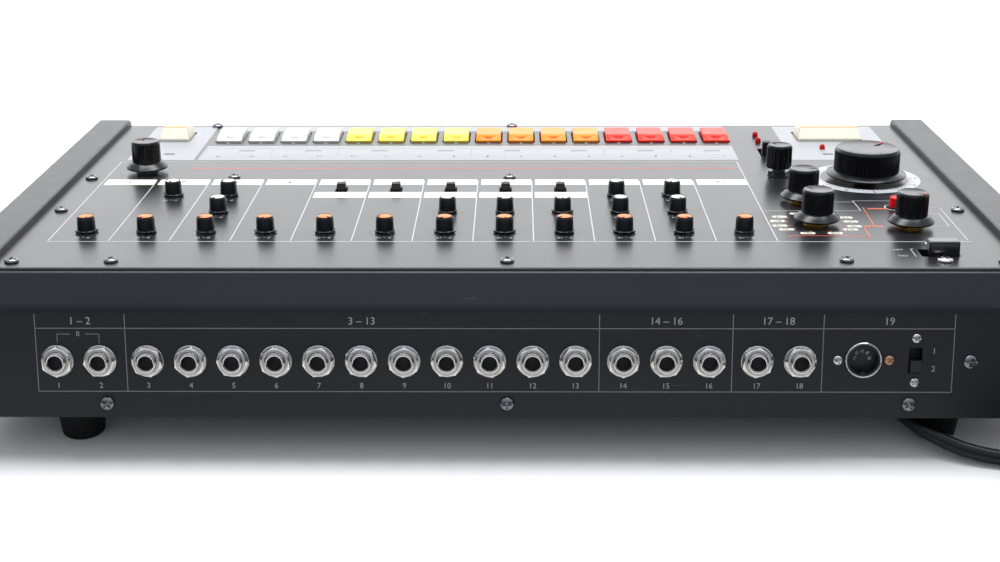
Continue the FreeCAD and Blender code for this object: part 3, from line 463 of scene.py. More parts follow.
def makeKeyPlastic(name, colour, worn):
    def paint(place):
        tone = place.noise(90, 3, 0.6).between(0.35, 0.8)
        dirt = place.noise(900, 2).between(0.62, 0.75) * 0.25
        grain = place.noise(2200, 2)
        rough = place.noise(300, 2) * 0.12 + 0.26
        return {"Base Color": dirt.blend((tone * 0.6).blend(colour, worn), shade(0.25, 0.2, 0.14)),
                "Roughness": rough, "Normal": grain.bumped(0.3, 0.02 * mm)}
    return newMaterial(name, {"Specular IOR Level": 0.2}, paint)


def makeRubber(name, colour, roughness, shine):
    def paint(place):
        dust = place.noise(260, 4, 0.7).between(0.5, 0.8) * 0.4
        grain = place.noise(1500, 2, 0.6)
        return {"Base Color": (dust * 0.4).blend(colour, shade(0.04, 0.04, 0.042)),
                "Roughness": dust * 0.2 + roughness, "Normal": grain.bumped(0.4, 0.02 * mm)}
    return newMaterial(name, {"Specular IOR Level": shine}, paint)


def makeBoard(name, colour, track):
    def paint(place):
        across = place.stretched((250, 900, 100)).noise(1.0, 1).between(0.52, 0.54)
        along = place.stretched((900, 250, 100)).noise(1.0, 1).between(0.52, 0.54)
        return {"Base Color": (across * along).blend(colour, track), "Normal": across.bumped(0.4, 0.03 * mm)}
    return newMaterial(name, {"Roughness": 0.4}, paint)


grainOf = {
    "case": {"scale": 1700, "strength": 0.3, "depth": 0.012},
    "panel": {"scale": 2100, "strength": 0.2, "depth": 0.004},
}
casePaintFinish = makeCasePaint("casePaint", casePaint["colour"], 0.36, 0.5, grainOf["case"], 0.36)
panelPaintFinish = makeCasePaint("panelPaint", casePaint["colour"], 0.3, 0.6, grainOf["panel"], 0.5)
cheekFinish = makePlastic("cheekPlastic", plastic["cheek"], 0.42, 1300, 0.05, 0.6)
knobFinish = makePlastic("knobPlastic", plastic["knob"], 0.24, 2500, 0.004, 0.25, 0.012, {"Specular IOR Level": 0.32}, 0.008)
leverFinish = makePlastic("leverPlastic", plastic["lever"], 0.4, 1800, 0.02, 0.25)
switchFinish = makePlastic("switchPlastic", plastic["lever"], 0.5, 1800, 0.02)
footFinish = makeRubber("footRubber", shade(0.004, 0.004, 0.004), 0.7, 0.2)
cordFinish = makeRubber("cordRubber", shade(0.004, 0.004, 0.005), 0.34, 0.3)
plugFinish = makePlastic("plugPlastic", plastic["lever"], 0.38, 1500, 0.03)
nickelFinish = makeMetal("nickel", shade(0.66, 0.64, 0.6), shade(0.36, 0.27, 0.18), 0.1, 0.15)
darkSteelFinish = makeMetal("darkSteel", shade(0.2, 0.2, 0.205), shade(0.07, 0.055, 0.05), 0.18, 0.15)
brassFinish = makeMetal("brass", shade(0.4, 0.23, 0.05), shade(0.14, 0.07, 0.02), 0.26, 0.15)
rustyFinish = makeMetal("rustyScrew", shade(0.5, 0.27, 0.17), shade(0.2, 0.08, 0.04), 0.4, 0.1)
ironFinish = makeMetal("transformerIron", shade(0.16, 0.15, 0.14), shade(0.05, 0.04, 0.03), 0.45, 0.0)
boardFinish = makeBoard("circuitBoard", shade(0.05, 0.13, 0.05), shade(0.1, 0.22, 0.08))
lampFinish = makeKeyPlastic("lampRed", shade(0.55, 0.008, 0.015), shade(0.7, 0.03, 0.03))
keyFinishes = {
    "key_red": makeKeyPlastic("keyRed", shade(0.86, 0.035, 0.015), shade(0.9, 0.09, 0.05)),
    "key_orange": makeKeyPlastic("keyOrange", shade(0.9, 0.27, 0.012), shade(0.95, 0.36, 0.04)),
    "key_yellow": makeKeyPlastic("keyYellow", shade(0.93, 0.78, 0.09), shade(0.95, 0.84, 0.2)),
    "key_white": makeKeyPlastic("keyWhite", shade(0.86, 0.86, 0.84), shade(0.8, 0.79, 0.72)),
    "button_cream": makeKeyPlastic("buttonCream", shade(0.84, 0.74, 0.46), shade(0.88, 0.82, 0.6)),
    "button_red": makeKeyPlastic("buttonRed", shade(0.9, 0.004, 0.01), shade(0.92, 0.01, 0.02)),
}
orangeCap = makeKeyPlastic("orangeCap", shade(0.92, 0.22, 0.045), shade(0.95, 0.33, 0.1))
whiteCap = makeKeyPlastic("whiteCap", shade(0.85, 0.86, 0.85), shade(0.7, 0.71, 0.7))
inks = {
    "white": makeInk("inkWhite", shade(0.5, 0.52, 0.55), shade(0.34, 0.36, 0.38)),
    "grey": makeInk("inkGrey", shade(0.2, 0.22, 0.24), shade(0.15, 0.165, 0.18)),
    "cream": makeInk("inkCream", shade(0.85, 0.84, 0.72), shade(0.78, 0.76, 0.62)),
    "orange": makeInk("inkOrange", shade(0.78, 0.13, 0.04), shade(0.6, 0.09, 0.03)),
    "pale": makeInk("inkPale", shade(0.36, 0.375, 0.4), shade(0.32, 0.335, 0.36)),
    "dark": makeInk("inkDark", shade(0.03, 0.03, 0.033), shade(0.05, 0.05, 0.052)),
    "band": makeInk("inkBand", shade(0.17, 0.175, 0.19), shade(0.13, 0.135, 0.15)),
}
dressNode("rear_panel", casePaintFinish)
dressNode("bottom_tray", casePaintFinish)
dressNode("top_panel", panelPaintFinish)
for side in ("left_cheek", "right_cheek"):
    dressNode(side, cheekFinish)
dressNode("rubber_feet", footFinish)
dressNode("case_screws", darkSteelFinish)
dressNode("jack_sockets", nickelFinish)
dressNode("jack_nuts", nickelFinish)
dressNode("din_socket", nickelFinish)
dressNode("potentiometers", makeNutMetal())
dressNode("panel_switches", switchFinish)
dressNode("indicator_lamps", lampFinish)
dressNode("circuit_boards", boardFinish)
dressNode("mains_transformer", ironFinish)
dressNode("slide_levers", leverFinish)
dressNode("power_lever", leverFinish)
dressNode("sync_lever", leverFinish)
dressNode("cord_grip", cordFinish)
dressNode("power_plug", plugFinish)
dressNode("clear_button", keyFinishes["button_red"])
lead.data.materials.append(cordFinish)
print("finishes ready")


# Small knobs: a flange with two ears, a tapered body, a bevelled rim and a coloured cap with its mark
smallKnob = {
    "sides": 48, "flangeRadius": 4.95, "gap": 0.35, "flange": 1.0, "waist": 4.4, "top": 4.1, "height": 8.3,
    "capRadius": 3.4, "earLength": 1.1, "bevel": 0.9, "flute": 0.12,
}


def makeSmallKnobBody():
    knob = smallKnob
    gap = knob["gap"]
    rimHeight = knob["height"] - knob["bevel"]
    body = startDisc("smallKnobBody", knob["flangeRadius"] - 0.3, gap, knob["sides"])
    growDisc([
        (knob["flangeRadius"] - 0.3, gap), (knob["flangeRadius"], gap + 0.3), (knob["flangeRadius"], gap + 0.8),
        (knob["flangeRadius"] - 0.2, gap + knob["flange"]), (knob["waist"] + 0.1, gap + knob["flange"] + 0.05),
        (knob["waist"], gap + knob["flange"] + 0.5), (knob["top"] + 0.1, rimHeight - 0.15), (knob["top"] - 0.05, rimHeight),
        (knob["capRadius"] + 0.35, knob["height"] - 0.2), (knob["capRadius"] + 0.2, knob["height"]),
        (knob["capRadius"], knob["height"] - 0.05), (knob["capRadius"], knob["height"] - 0.5),
    ])
    sideRange = (knob["waist"] * mm, (gap + knob["flange"] + 0.3) * mm, (rimHeight - 0.1) * mm)

    def inFlute(vertex):
        x, y, z = vertex.co
        step = round(math.atan2(y, x) / (2 * math.pi) * knob["sides"])
        return step % 2 == 0 and sideRange[1] < z < sideRange[2] and math.hypot(x, y) < sideRange[0] + 0.05 * mm
    selectWhere(body, inFlute)
    share = 1 - knob["flute"] / knob["waist"]
    bpy.ops.transform.resize(value=(share, share, 1), center_override=(0, 0, 0))

    def inEar(vertex):
        x, y, z = vertex.co
        return abs(y) < 1.3 * mm and abs(x) > 4.2 * mm and z < (gap + knob["flange"] + 0.02) * mm
    selectWhere(body, inEar)
    stretch = 1 + knob["earLength"] / knob["flangeRadius"] * 0.55
    bpy.ops.transform.resize(value=(stretch, 1, 1), center_override=(0, 0, 0))
    finishShape(body, 0.0)
    return body


def makeSmallKnobCap():
    knob = smallKnob
    radius = knob["capRadius"] + 0.02
    cap = startDisc("smallKnobCap", radius, knob["height"] - 0.45, knob["sides"])
    growDisc([(radius, knob["height"] - 0.45), (radius, knob["height"] - 0.2), (radius - 0.25, knob["height"] - 0.08),
              (radius - 1.4, knob["height"] + 0.02), (0.4, knob["height"] + 0.06)])
    finishShape(cap)
    return cap


def makeSmallKnobMark():
    knob = smallKnob
    clearSelection()
    bpy.ops.mesh.primitive_cube_add(size=1)
    mark = bpy.context.object
    mark.name = "smallKnobMark"
    bpy.ops.object.mode_set(mode="EDIT")
    bpy.ops.transform.resize(value=(0.9 * mm, 1.9 * mm, 0.5 * mm))
    bpy.ops.transform.translate(value=(0, (knob["capRadius"] - 0.75) * mm, (knob["height"] - 0.08) * mm))
    finishShape(mark, 0.12)
    return mark


def placeSmallKnobs():
    body = makeSmallKnobBody()
    cap = makeSmallKnobCap()
    mark = makeSmallKnobMark()
    columns = [204.4 - 28.98 * column for column in range(12)]
    levels = [(columns[index], 55.0) for index in range(12)]
    tones = [(columns[index], 89.2) for index in (2, 6, 7, 8, 9, 10)] + [(columns[index], 120.0) for index in (1, 2, 9, 10)]
    levelTurns = [-20, 35, 60, 10, -45, 80, 25, -10, 50, 15, -30, 70]
    toneTurns = [30, -60, 45, 0, 85, -25, 15, 70, -40, 20]
    for index, ((x, row), turn) in enumerate(zip(levels + tones, levelTurns + toneTurns)):
        isLevel = index < len(levels)
        number = index + 1 if isLevel else index + 1 - len(levels)
        owner = f"level_knob_{number:02d}" if isLevel else "case"
        stem = f"levelKnob{number:02d}" if isLevel else f"toneKnob{number:02d}"
        colour = orangeCap if isLevel else whiteCap
        for shape, tail, material in ((body, "Body", knobFinish), (cap, "Cap", colour), (mark, "Mark", knobFinish)):
            piece = copyOf(shape, stem + tail)
            seat(piece, onPanel(x, row, turn))
            wearPiece(piece, material, owner)
            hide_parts(owner if isLevel else "tone_knobs")
    for shape in (body, cap, mark):
        bpy.data.objects.remove(shape)


placeSmallKnobs()
print("small knobs made")


# Fluted knobs: a skirt that flares to a rim, a fluted barrel, a bevelled crown with a dished top and a pointer
flutedKnob = {
    "skirted": {
        "barrel": 7.75, "height": 17.8, "flutes": 30, "flute": 0.35, "bevel": 0.9, "dish": 0.5,
        "skirt": 11.2, "skirtLow": 2.6, "rim": 0.9, "skirtTop": 6.2, "low": 2.6,
    },
    "plain": {"barrel": 6.8, "height": 17.3, "flutes": 26, "flute": 0.35, "bevel": 0.9, "dish": 0.4, "low": 4.6},
    "dial": {
        "barrel": 17.3, "height": 17.9, "flutes": 72, "flute": 0.5, "bevel": 1.4, "dish": 0.5,
        "skirt": 21.1, "skirtLow": 2.8, "rim": 0.9, "skirtTop": 5.3, "low": 2.8,
    },
}


def makeFlutedKnob(name, size):
    sides = size["flutes"] * 3
    barrel = size["barrel"]
    height = size["height"]
    crownLow = height - size["bevel"]
    low = size["low"]
    profile = [(barrel - 0.4, low)]
    if "skirt" in size:
        skirt = size["skirt"]
        profile = [
            (skirt - 1.2, low + 0.1), (skirt - 0.3, low), (skirt, low + 0.3), (skirt, low + size["rim"]),
            (skirt - 0.35, low + size["rim"] + 0.25), (barrel + 1.2, size["skirtTop"] - 0.4), (barrel + 0.35, size["skirtTop"]),
        ]
    barrelLow = profile[-1][1] + 0.15
    profile += [
        (barrel, barrelLow), (barrel, crownLow - 0.5), (barrel - 0.1, crownLow), (barrel - size["bevel"] * 0.75, height - 0.1),
        (barrel - size["bevel"] - 0.15, height), (barrel - size["bevel"] - 0.5, height - 0.12),
        (barrel * 0.5, height - size["dish"]), (0.6, height - size["dish"] - 0.05),
    ]
    knob = startDisc(name, profile[0][0], profile[0][1], sides)
    growDisc(profile)

    def inFlute(vertex):
        x, y, z = vertex.co
        step = round(math.atan2(y, x) / (2 * math.pi) * sides)
        radius = math.hypot(x, y)
        return step % 3 == 0 and abs(radius - barrel * mm) < 0.02 * mm and z < (crownLow - 0.2) * mm
    selectWhere(knob, inFlute)
    share = 1 - size["flute"] / barrel
    bpy.ops.transform.resize(value=(share, share, 1), center_override=(0, 0, 0))
    finishShape(knob, 0.0, smooth=30)
    return knob


# A slot cut across the crown from its edge towards the middle
def cutPointer(knob, size, width, depth, start):
    clearSelection()
    bpy.ops.mesh.primitive_cube_add(size=1)
    cutter = bpy.context.object
    length = size["barrel"] + 1 - start
    bpy.ops.object.mode_set(mode="EDIT")
    bpy.ops.transform.resize(value=(width * mm, length * mm, 4 * mm))
    bpy.ops.transform.translate(value=(0, (start + length / 2) * mm, (size["height"] - size["dish"] - depth + 2) * mm))
    bpy.ops.object.mode_set(mode="OBJECT")
    makeActive(knob)
    cut = knob.modifiers.new("pointer", "BOOLEAN")
    cut.object = cutter
    cut.solver = "EXACT"
    bpy.ops.object.modifier_apply(modifier="pointer")
    bpy.data.objects.remove(cutter)
    makeActive(knob)
    bpy.ops.object.shade_smooth_by_angle(angle=math.radians(30))


# A thin strip of paint that follows the slot and, on one knob, runs on down the barrel
def makeStripe(name, size, start, end, width, lift, downSide=False):
    clearSelection()
    bpy.ops.mesh.primitive_plane_add(size=1)
    stripe = bpy.context.object
    stripe.name = name
    bpy.ops.object.mode_set(mode="EDIT")
    bpy.ops.transform.resize(value=(width * mm, (end - start) * mm, 1))
    bpy.ops.transform.translate(value=(0, (start + end) / 2 * mm, (size["height"] + lift) * mm))
    if downSide:
        selectWhere(stripe, lambda edge: all(v.co.y > (end - 0.1) * mm for v in edge.verts), "EDGE")
        bpy.ops.mesh.extrude_region_move(TRANSFORM_OT_translate={"value": (0, 0.75 * mm, -size["bevel"] * mm)})
        bpy.ops.mesh.extrude_region_move(TRANSFORM_OT_translate={"value": (0, 0.08 * mm, -8.6 * mm)})
    finishShape(stripe)
    thick = stripe.modifiers.new("thick", "SOLIDIFY")
    thick.thickness = 0.12 * mm
    thick.offset = 0
    bpy.ops.object.modifier_apply(modifier="thick")
    return stripe


markRed = makeInk("markRed", shade(0.75, 0.012, 0.012), shade(0.6, 0.02, 0.015))
knobPlaces = {
    "volume_knob": {"size": "skirted", "x": 199.6, "row": 167.4, "turn": 150.0, "mark": (5.0, 6.6)},
    "mode_knob": {"size": "skirted", "x": -196.6, "row": 63.8, "turn": -50.0, "mark": (4.2, 6.75), "side": True},
    "instrument_knob": {"size": "skirted", "x": -151.8, "row": 68.9, "turn": 130.0},
    "fill_knob": {"size": "skirted", "x": -151.5, "row": 108.5, "turn": -90.0},
    "fine_tempo_knob": {"size": "plain", "x": -147.3, "row": 160.5, "turn": 140.0},
    "tempo_dial": {"size": "dial", "x": -193.0, "row": 151.8, "turn": -135.0, "mark": (9.5, 14.6)},
}


def placeFlutedKnobs():
    shapes = {}
    for kind, size in flutedKnob.items():
        knob = makeFlutedKnob(kind + "Shape", size)
        width = 1.3 if kind == "dial" else 0.9
        cutPointer(knob, size, width, 0.35, size["barrel"] * 0.35)
        shapes[kind] = knob
    for node, spot in knobPlaces.items():
        size = flutedKnob[spot["size"]]
        words = node.split("_")
        stem = words[0] + "".join(word.capitalize() for word in words[1:])
        knob = copyOf(shapes[spot["size"]], stem + "Shape")
        place = onPanel(spot["x"], spot["row"], spot["turn"])
        seat(knob, place)
        wearPiece(knob, knobFinish, node)
        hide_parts(node)
        if "mark" in spot:
            start, end = spot["mark"]
            stripe = makeStripe(stem + "Mark", size, start, end, 0.55 if "side" in spot else 0.8, 0.03, "side" in spot)
            seat(stripe, place)
            wearPiece(stripe, markRed, node)
    for knob in shapes.values():
        bpy.data.objects.remove(knob)


placeFlutedKnobs()
print("fluted knobs made")


# Keys and buttons: a cap that slopes up from its rear foot to a ridge, with a shallow dish on its top
capShapes = {
    "key": {"width": 15.0, "length": 24.5, "slope": 7.0, "rearHeight": 1.2, "height": 3.3, "narrow": 0.2, "round": 0.45},
    "start": {"width": 37.8, "length": 22.3, "slope": 5.2, "rearHeight": 1.5, "height": 8.0, "narrow": 1.9, "round": 0.6},
    "tap": {"width": 17.8, "length": 22.3, "slope": 5.2, "rearHeight": 1.5, "height": 8.2, "narrow": 1.9, "round": 0.6},
}
keyRow = {"first": -122.375, "pitch": 19.25, "row": 235.0, "count": 16, "colours": ("red", "orange", "yellow", "white")}
keyWindow = {"width": 4.0, "length": 2.4, "back": 2.7, "depth": 0.35, "sides": 32}
buttonSpots = {"start_button": ("start", -189.75, 237.35), "tap_button": ("tap", 199.3, 237.35)}


def makeCap(name, size):
    clearSelection()
    bpy.ops.mesh.primitive_cube_add(size=1)
    cap = bpy.context.object
    cap.name = name
    height = size["height"]
    tall = height + 4.0
    bpy.ops.object.mode_set(mode="EDIT")
    bpy.ops.transform.resize(value=(size["width"] * mm, size["length"] * mm, tall * mm))
    bpy.ops.transform.translate(value=(0, -size["length"] / 2 * mm, (tall / 2 - 4.0) * mm))
    bpy.ops.mesh.bisect(plane_co=(0, -size["slope"] * mm, 0), plane_no=(0, 1, 0))
    selectWhere(cap, lambda vertex: vertex.co.z > (height - 0.01) * mm)
    share = 1 - 2 * size["narrow"] / size["width"]
    bpy.ops.transform.resize(value=(share, 1, 1), center_override=(0, 0, 0))
    selectWhere(cap, lambda vertex: vertex.co.z > (height - 0.01) * mm and vertex.co.y > -0.1 * mm)
    bpy.ops.transform.translate(value=(0, 0, (size["rearHeight"] - height) * mm))
    share = (size["width"] / 2 - size["narrow"] * size["rearHeight"] / height) / (size["width"] / 2 - size["narrow"])
    bpy.ops.transform.resize(value=(share, 1, 1), center_override=(0, 0, 0))
    selectWhere(cap, lambda face: face.normal.z > 0.99 and face.calc_center_median().z > (height - 0.01) * mm, "FACE")
    bpy.ops.mesh.inset(thickness=1.3 * mm)
    bpy.ops.transform.translate(value=(0, 0, -0.16 * mm))
    finishShape(cap, size["round"], 3, 40, flatFaces=True)
    return cap


# Where the lamp window sits: its middle on the slope, turned to lie along it
def windowPlace(size):
    tilt = math.atan2(size["height"] - size["rearHeight"], size["slope"])
    back = keyWindow["back"]
    middle = (0, -back * mm, (size["rearHeight"] + back * math.tan(tilt)) * mm)
    return Matrix.Translation(middle) @ Matrix.Rotation(-tilt, 4, "X")


def cutWindow(cap, size):
    window = keyWindow
    cutter = startDisc("windowCutter", window["width"] / 2, -window["depth"], window["sides"])
    growDisc([(window["width"] / 2, -window["depth"]), (window["width"] / 2, 1.0)])
    bpy.ops.mesh.select_all(action="SELECT")
    bpy.ops.transform.resize(value=(1, window["length"] / window["width"], 1), center_override=(0, 0, 0))
    finishShape(cutter)
    seat(cutter, windowPlace(size))
    makeActive(cap)
    cut = cap.modifiers.new("window", "BOOLEAN")
    cut.object = cutter
    cut.solver = "EXACT"
    bpy.ops.object.modifier_apply(modifier="window")
    bpy.data.objects.remove(cutter)


def makeLens():
    window = keyWindow
    radius = window["width"] / 2 - 0.1
    low = -window["depth"]
    lens = startDisc("lensShape", radius, low, window["sides"])
    growDisc([(radius, low), (radius - 0.03, low + 0.14), (radius * 0.8, low + 0.26), (radius * 0.4, low + 0.33)])
    bpy.ops.mesh.select_all(action="SELECT")
    bpy.ops.transform.resize(value=(1, window["length"] / window["width"], 1), center_override=(0, 0, 0))
    finishShape(lens)
    seat(lens, windowPlace(capShapes["key"]))
    return lens


def placeKeys():
    size = capShapes["key"]
    cap = makeCap("keyCapShape", size)
    cutWindow(cap, size)
    lens = makeLens()
    for index in range(keyRow["count"]):
        colour = keyRow["colours"][index // 4]
        place = onPanel(keyRow["first"] + index * keyRow["pitch"], keyRow["row"])
        for shape, tail, material in ((cap, "Cap", keyFinishes["key_" + colour]), (lens, "Lens", lensFinishes[colour])):
            piece = copyOf(shape, f"stepKey{index + 1:02d}{tail}")
            seat(piece, place)
            wearPiece(piece, material, f"step_key_{index + 1:02d}")
            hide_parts(f"step_key_{index + 1:02d}")
    bpy.data.objects.remove(cap)
    bpy.data.objects.remove(lens)


lensFinishes = {
    "red": makeKeyPlastic("lensRed", shade(0.8, 0.015, 0.01), shade(0.85, 0.03, 0.02)),
    "orange": makeKeyPlastic("lensOrange", shade(0.8, 0.12, 0.01), shade(0.85, 0.18, 0.02)),
    "yellow": makeKeyPlastic("lensYellow", shade(0.85, 0.55, 0.04), shade(0.88, 0.6, 0.08)),
    "white": makeKeyPlastic("lensWhite", shade(0.72, 0.55, 0.5), shade(0.7, 0.6, 0.55)),
}


# Cream plastic whose ridge is tinted orange: a band across it at the ridge's place on the panel
def makeButtonCream():
    ridge = buttonSpots["start_button"][2] + capShapes["start"]["slope"]
    edge = panelEdgeY / mm * panelLean.x + panelEdgeZ / mm * panelLean.y

    def paint(place):
        along = (place.part(1) * panelLean.x + place.part(2) * panelLean.y) * 1000 - edge
        onRidge = 1 - (along + ridge).size().between(0.35, 0.95)
        tone = place.noise(90, 3, 0.6).between(0.35, 0.8)
        cream = tone.blend(shade(0.93, 0.88, 0.72), shade(0.95, 0.92, 0.8))
        rough = place.noise(300, 2) * 0.12 + 0.26
        return {"Base Color": (onRidge * 0.8).blend(cream, shade(0.9, 0.42, 0.12)),
                "Roughness": rough, "Normal": place.noise(2200).bumped(0.3, 0.02 * mm)}
    return newMaterial("buttonCreamRidge", {"Specular IOR Level": 0.4}, paint)


def placeButtons():
    cream = makeButtonCream()
    for node, (kind, x, row) in buttonSpots.items():
        button = makeCap(kind + "Button", capShapes[kind])
        seat(button, onPanel(x, row))
        wearPiece(button, cream, node)
        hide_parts(node)


placeKeys()
placeButtons()
print("keys made")


# Small round clear button with a hollowed top
clearShape = {"x": -196.9, "row": 97.5, "radius": 3.2, "height": 5.6, "sides": 48}


def placeClearButton():
    shape = clearShape
    radius = shape["radius"]
    height = shape["height"]
    button = startDisc("clearButton", radius, -3.5, shape["sides"])
    growDisc([
        (radius, -3.5), (radius, height - 0.6), (radius - 0.12, height - 0.25), (radius - 0.4, height - 0.05),
        (radius - 0.7, height), (radius * 0.6, height - 0.14), (radius * 0.3, height - 0.2),
    ])
    finishShape(button)
    seat(button, onPanel(shape["x"], shape["row"]))
    wearPiece(button, keyFinishes["button_red"], "clear_button")
    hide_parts("clear_button")


# Lamps: a domed lens on a collar
lampShape = {"spots": ((-147.2, 249.85), (-146.9, 235.35), (-181.7, 218.55)), "radius": 1.6, "height": 3.0, "sides": 32}


def placeLamps():
    radius = lampShape["radius"]
    height = lampShape["height"]
    for index, (x, row) in enumerate(lampShape["spots"]):
        lamp = startDisc(f"indicatorLamp{index + 1}", radius, -4.0, lampShape["sides"])
        growDisc([
            (radius, -4.0), (radius, 1.4), (radius - 0.12, height - 1.05), (radius - 0.42, height - 0.5),
            (radius - 0.85, height - 0.15), (radius - 1.3, height - 0.01),
        ])
        finishShape(lamp, smooth=60)
        seat(lamp, onPanel(x, row))
        wearPiece(lamp, lampFinish, "case")
        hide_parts("indicator_lamps")


# Slide levers: narrower towards the top, with grip grooves across it
leverShape = {"width": 5.2, "length": 4.0, "low": -4.0, "top": 0.86, "round": 0.35, "groove": 0.5}
leverSpots = [(204.4 - 28.98 * column, 131.0, 4.0) for column in range(4, 9)] + [(-147.1, 204.8, 7.9)]


def makeLever(name, width, length, low, high, topShare):
    clearSelection()
    bpy.ops.mesh.primitive_cube_add(size=1)
    piece = bpy.context.object
    piece.name = name
    bpy.ops.object.mode_set(mode="EDIT")
    bpy.ops.transform.resize(value=(width * mm, length * mm, (high - low) * mm))
    bpy.ops.transform.translate(value=(0, 0, (high + low) / 2 * mm))
    bpy.ops.mesh.bisect(plane_co=(0, 0, 0), plane_no=(0, 0, 1))
    selectWhere(piece, lambda vertex: vertex.co.z > (high - 0.01) * mm)
    bpy.ops.transform.resize(value=(topShare, topShare, 1), center_override=(0, 0, 0))
    return piece


def cutGrooves(piece, high, length):
    for step in (-1, 0, 1):
        for side in (-0.3, 0.3):
            bpy.ops.mesh.select_all(action="SELECT")
            middle = (step * length / 3.6 + side * leverShape["groove"]) * mm
            bpy.ops.mesh.bisect(plane_co=(0, middle, 0), plane_no=(0, 1, 0))
    half = leverShape["groove"] * 0.3

    def inGroove(face):
        spot = face.calc_center_median()
        near = [abs(spot.y / mm - step * length / 3.6) < half for step in (-1, 0, 1)]
        return spot.z > (high - 0.01) * mm and any(near)
    selectWhere(piece, inGroove, "FACE")
    bpy.ops.transform.translate(value=(0, 0, -0.3 * mm))


def placeLevers():
    shape = leverShape
    for index, (x, row, high) in enumerate(leverSpots):
        lever = makeLever(f"slideLever{index + 1}", shape["width"], shape["length"], shape["low"], high, shape["top"])
        cutGrooves(lever, high, shape["length"] * shape["top"])
        finishShape(lever, shape["round"] * 0.35, 2, 30, flatFaces=True)
        seat(lever, onPanel(x, row))
        wearPiece(lever, leverFinish, "case")
        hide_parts("slide_levers")
    power = makeLever("powerLever", 14.6, 6.8, -4.0, 7.0, 0.97)
    finishShape(power, 0.9, 4, 30, flatFaces=True)
    seat(power, onPanel(-201.3, 20.55))
    wearPiece(power, glossFinish, "power_lever")
    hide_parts("power_lever")


glossFinish = makePlastic("powerLeverPlastic", plastic["lever"], 0.16, 1500, 0.01, fixed={"Specular IOR Level": 0.6})
placeClearButton()
placeLamps()
placeLevers()
print("buttons, lamps and levers made")


def cutWith(piece, cutter, kind="DIFFERENCE"):
    makeActive(piece)
    cut = piece.modifiers.new("cut", "BOOLEAN")
    cut.operation = kind
    cut.object = cutter
    cut.solver = "EXACT"
    bpy.ops.object.modifier_apply(modifier="cut")
    bpy.data.objects.remove(cutter)


# Rear sockets: a bush with a rounded lip and a deep bore, its body behind, a washer and a chamfered nut
jack = {
    "row": 26.6, "first": 204.1, "last": -132.47, "groups": (2, 11, 3, 2), "gap": 2.2, "turn": 37.0, "sides": 48,
    "bush": 4.6, "bore": 3.25, "reach": 4.8, "depth": 19.2, "across": 12.7, "nutLow": 0.6, "nutTop": 3.0,
    "washer": 7.4, "body": (14.0, 16.0, 22.0),
}


def jackSpots():
    groups = jack["groups"]
    pitch = (jack["first"] - jack["last"] - (len(groups) - 1) * jack["gap"]) / (sum(groups) - 1)
    spots = []
    x = jack["first"]
    for count in groups:
        spots += [x - step * pitch for step in range(count)]
        x -= count * pitch + jack["gap"]
    return spots


def makeBush():
    bush = jack["bush"]
    bore = jack["bore"]
    reach = jack["reach"]
    shape = startDisc("jackBushShape", bush, -20.2, jack["sides"])
    growDisc([
        (bush, -20.2), (bush, -1.0), (bush, 3.1), (bush - 0.16, 3.25), (bush, 3.4), (bush, reach - 0.4),
        (bush - 0.12, reach - 0.12), (bush - 0.4, reach), (bore + 0.55, reach), (bore + 0.25, reach - 0.1),
        (bore, reach - 0.5), (bore, 1.0), (bore, -jack["depth"]),
    ])
    finishShape(shape)
    return shape


# The bent strip that touches a plug inside the bore
def makeSpring():
    clearSelection()
    bpy.ops.mesh.primitive_plane_add(size=1)
    spring = bpy.context.object
    spring.name = "jackSpringShape"
    bpy.ops.object.mode_set(mode="EDIT")
    bpy.ops.transform.resize(value=(1.8 * mm, 0.5 * mm, 1))
    bpy.ops.transform.translate(value=(0, 2.9 * mm, -14 * mm))
    bpy.ops.mesh.select_all(action="SELECT")
    for step in ((0, -0.6, 2.0), (0, -0.9, 2.0), (0, 0.3, 0.8), (0, 1.0, 1.6), (0, 0.2, 1.6)):
        move = {"value": tuple(part * mm for part in step)}
        bpy.ops.mesh.extrude_region_move(TRANSFORM_OT_translate=move)
    finishShape(spring, smooth=60)
    return spring


def makeNut(name, across, low, top, hole):
    corner = across / math.sqrt(3)
    nut = startDisc(name, corner, low, 6)
    growDisc([(corner, low), (corner, top)])
    finishShape(nut)
    cone = startDisc("nutCone", corner + 0.1 - 0.5, low - 0.01, jack["sides"])
    rise = math.tan(math.radians(30))
    flat = across / 2 - 0.35
    growDisc([(corner - 0.4, low - 0.01), (corner + 0.1, low + 0.3), (corner + 0.1, top - (corner + 0.1 - flat) * rise),
              (flat, top + 0.01)])
    finishShape(cone)
    drill = startDisc("nutDrill", hole, low - 1, jack["sides"])
    growDisc([(hole, low - 1), (hole, top - 0.3), (hole + 0.35, top + 0.02), (hole + 0.35, top + 1)])
    finishShape(drill)
    cutWith(nut, cone, "INTERSECT")
    cutWith(nut, drill)
    bpy.ops.object.shade_smooth_by_angle(angle=math.radians(25))
    return nut


def makeWasher(name, radius, thickness, hole):
    washer = startDisc(name, hole, 0.02, jack["sides"])
    growDisc([
        (hole, 0.02), (radius - 0.15, 0.02), (radius, 0.15), (radius, thickness - 0.2), (radius - 0.2, thickness),
        (hole, thickness), (hole, 0.12),
    ])
    selectWhere(washer, lambda face: len(face.verts) > 10, "FACE")
    bpy.ops.mesh.delete(type="FACE")
    finishShape(washer)
    return washer


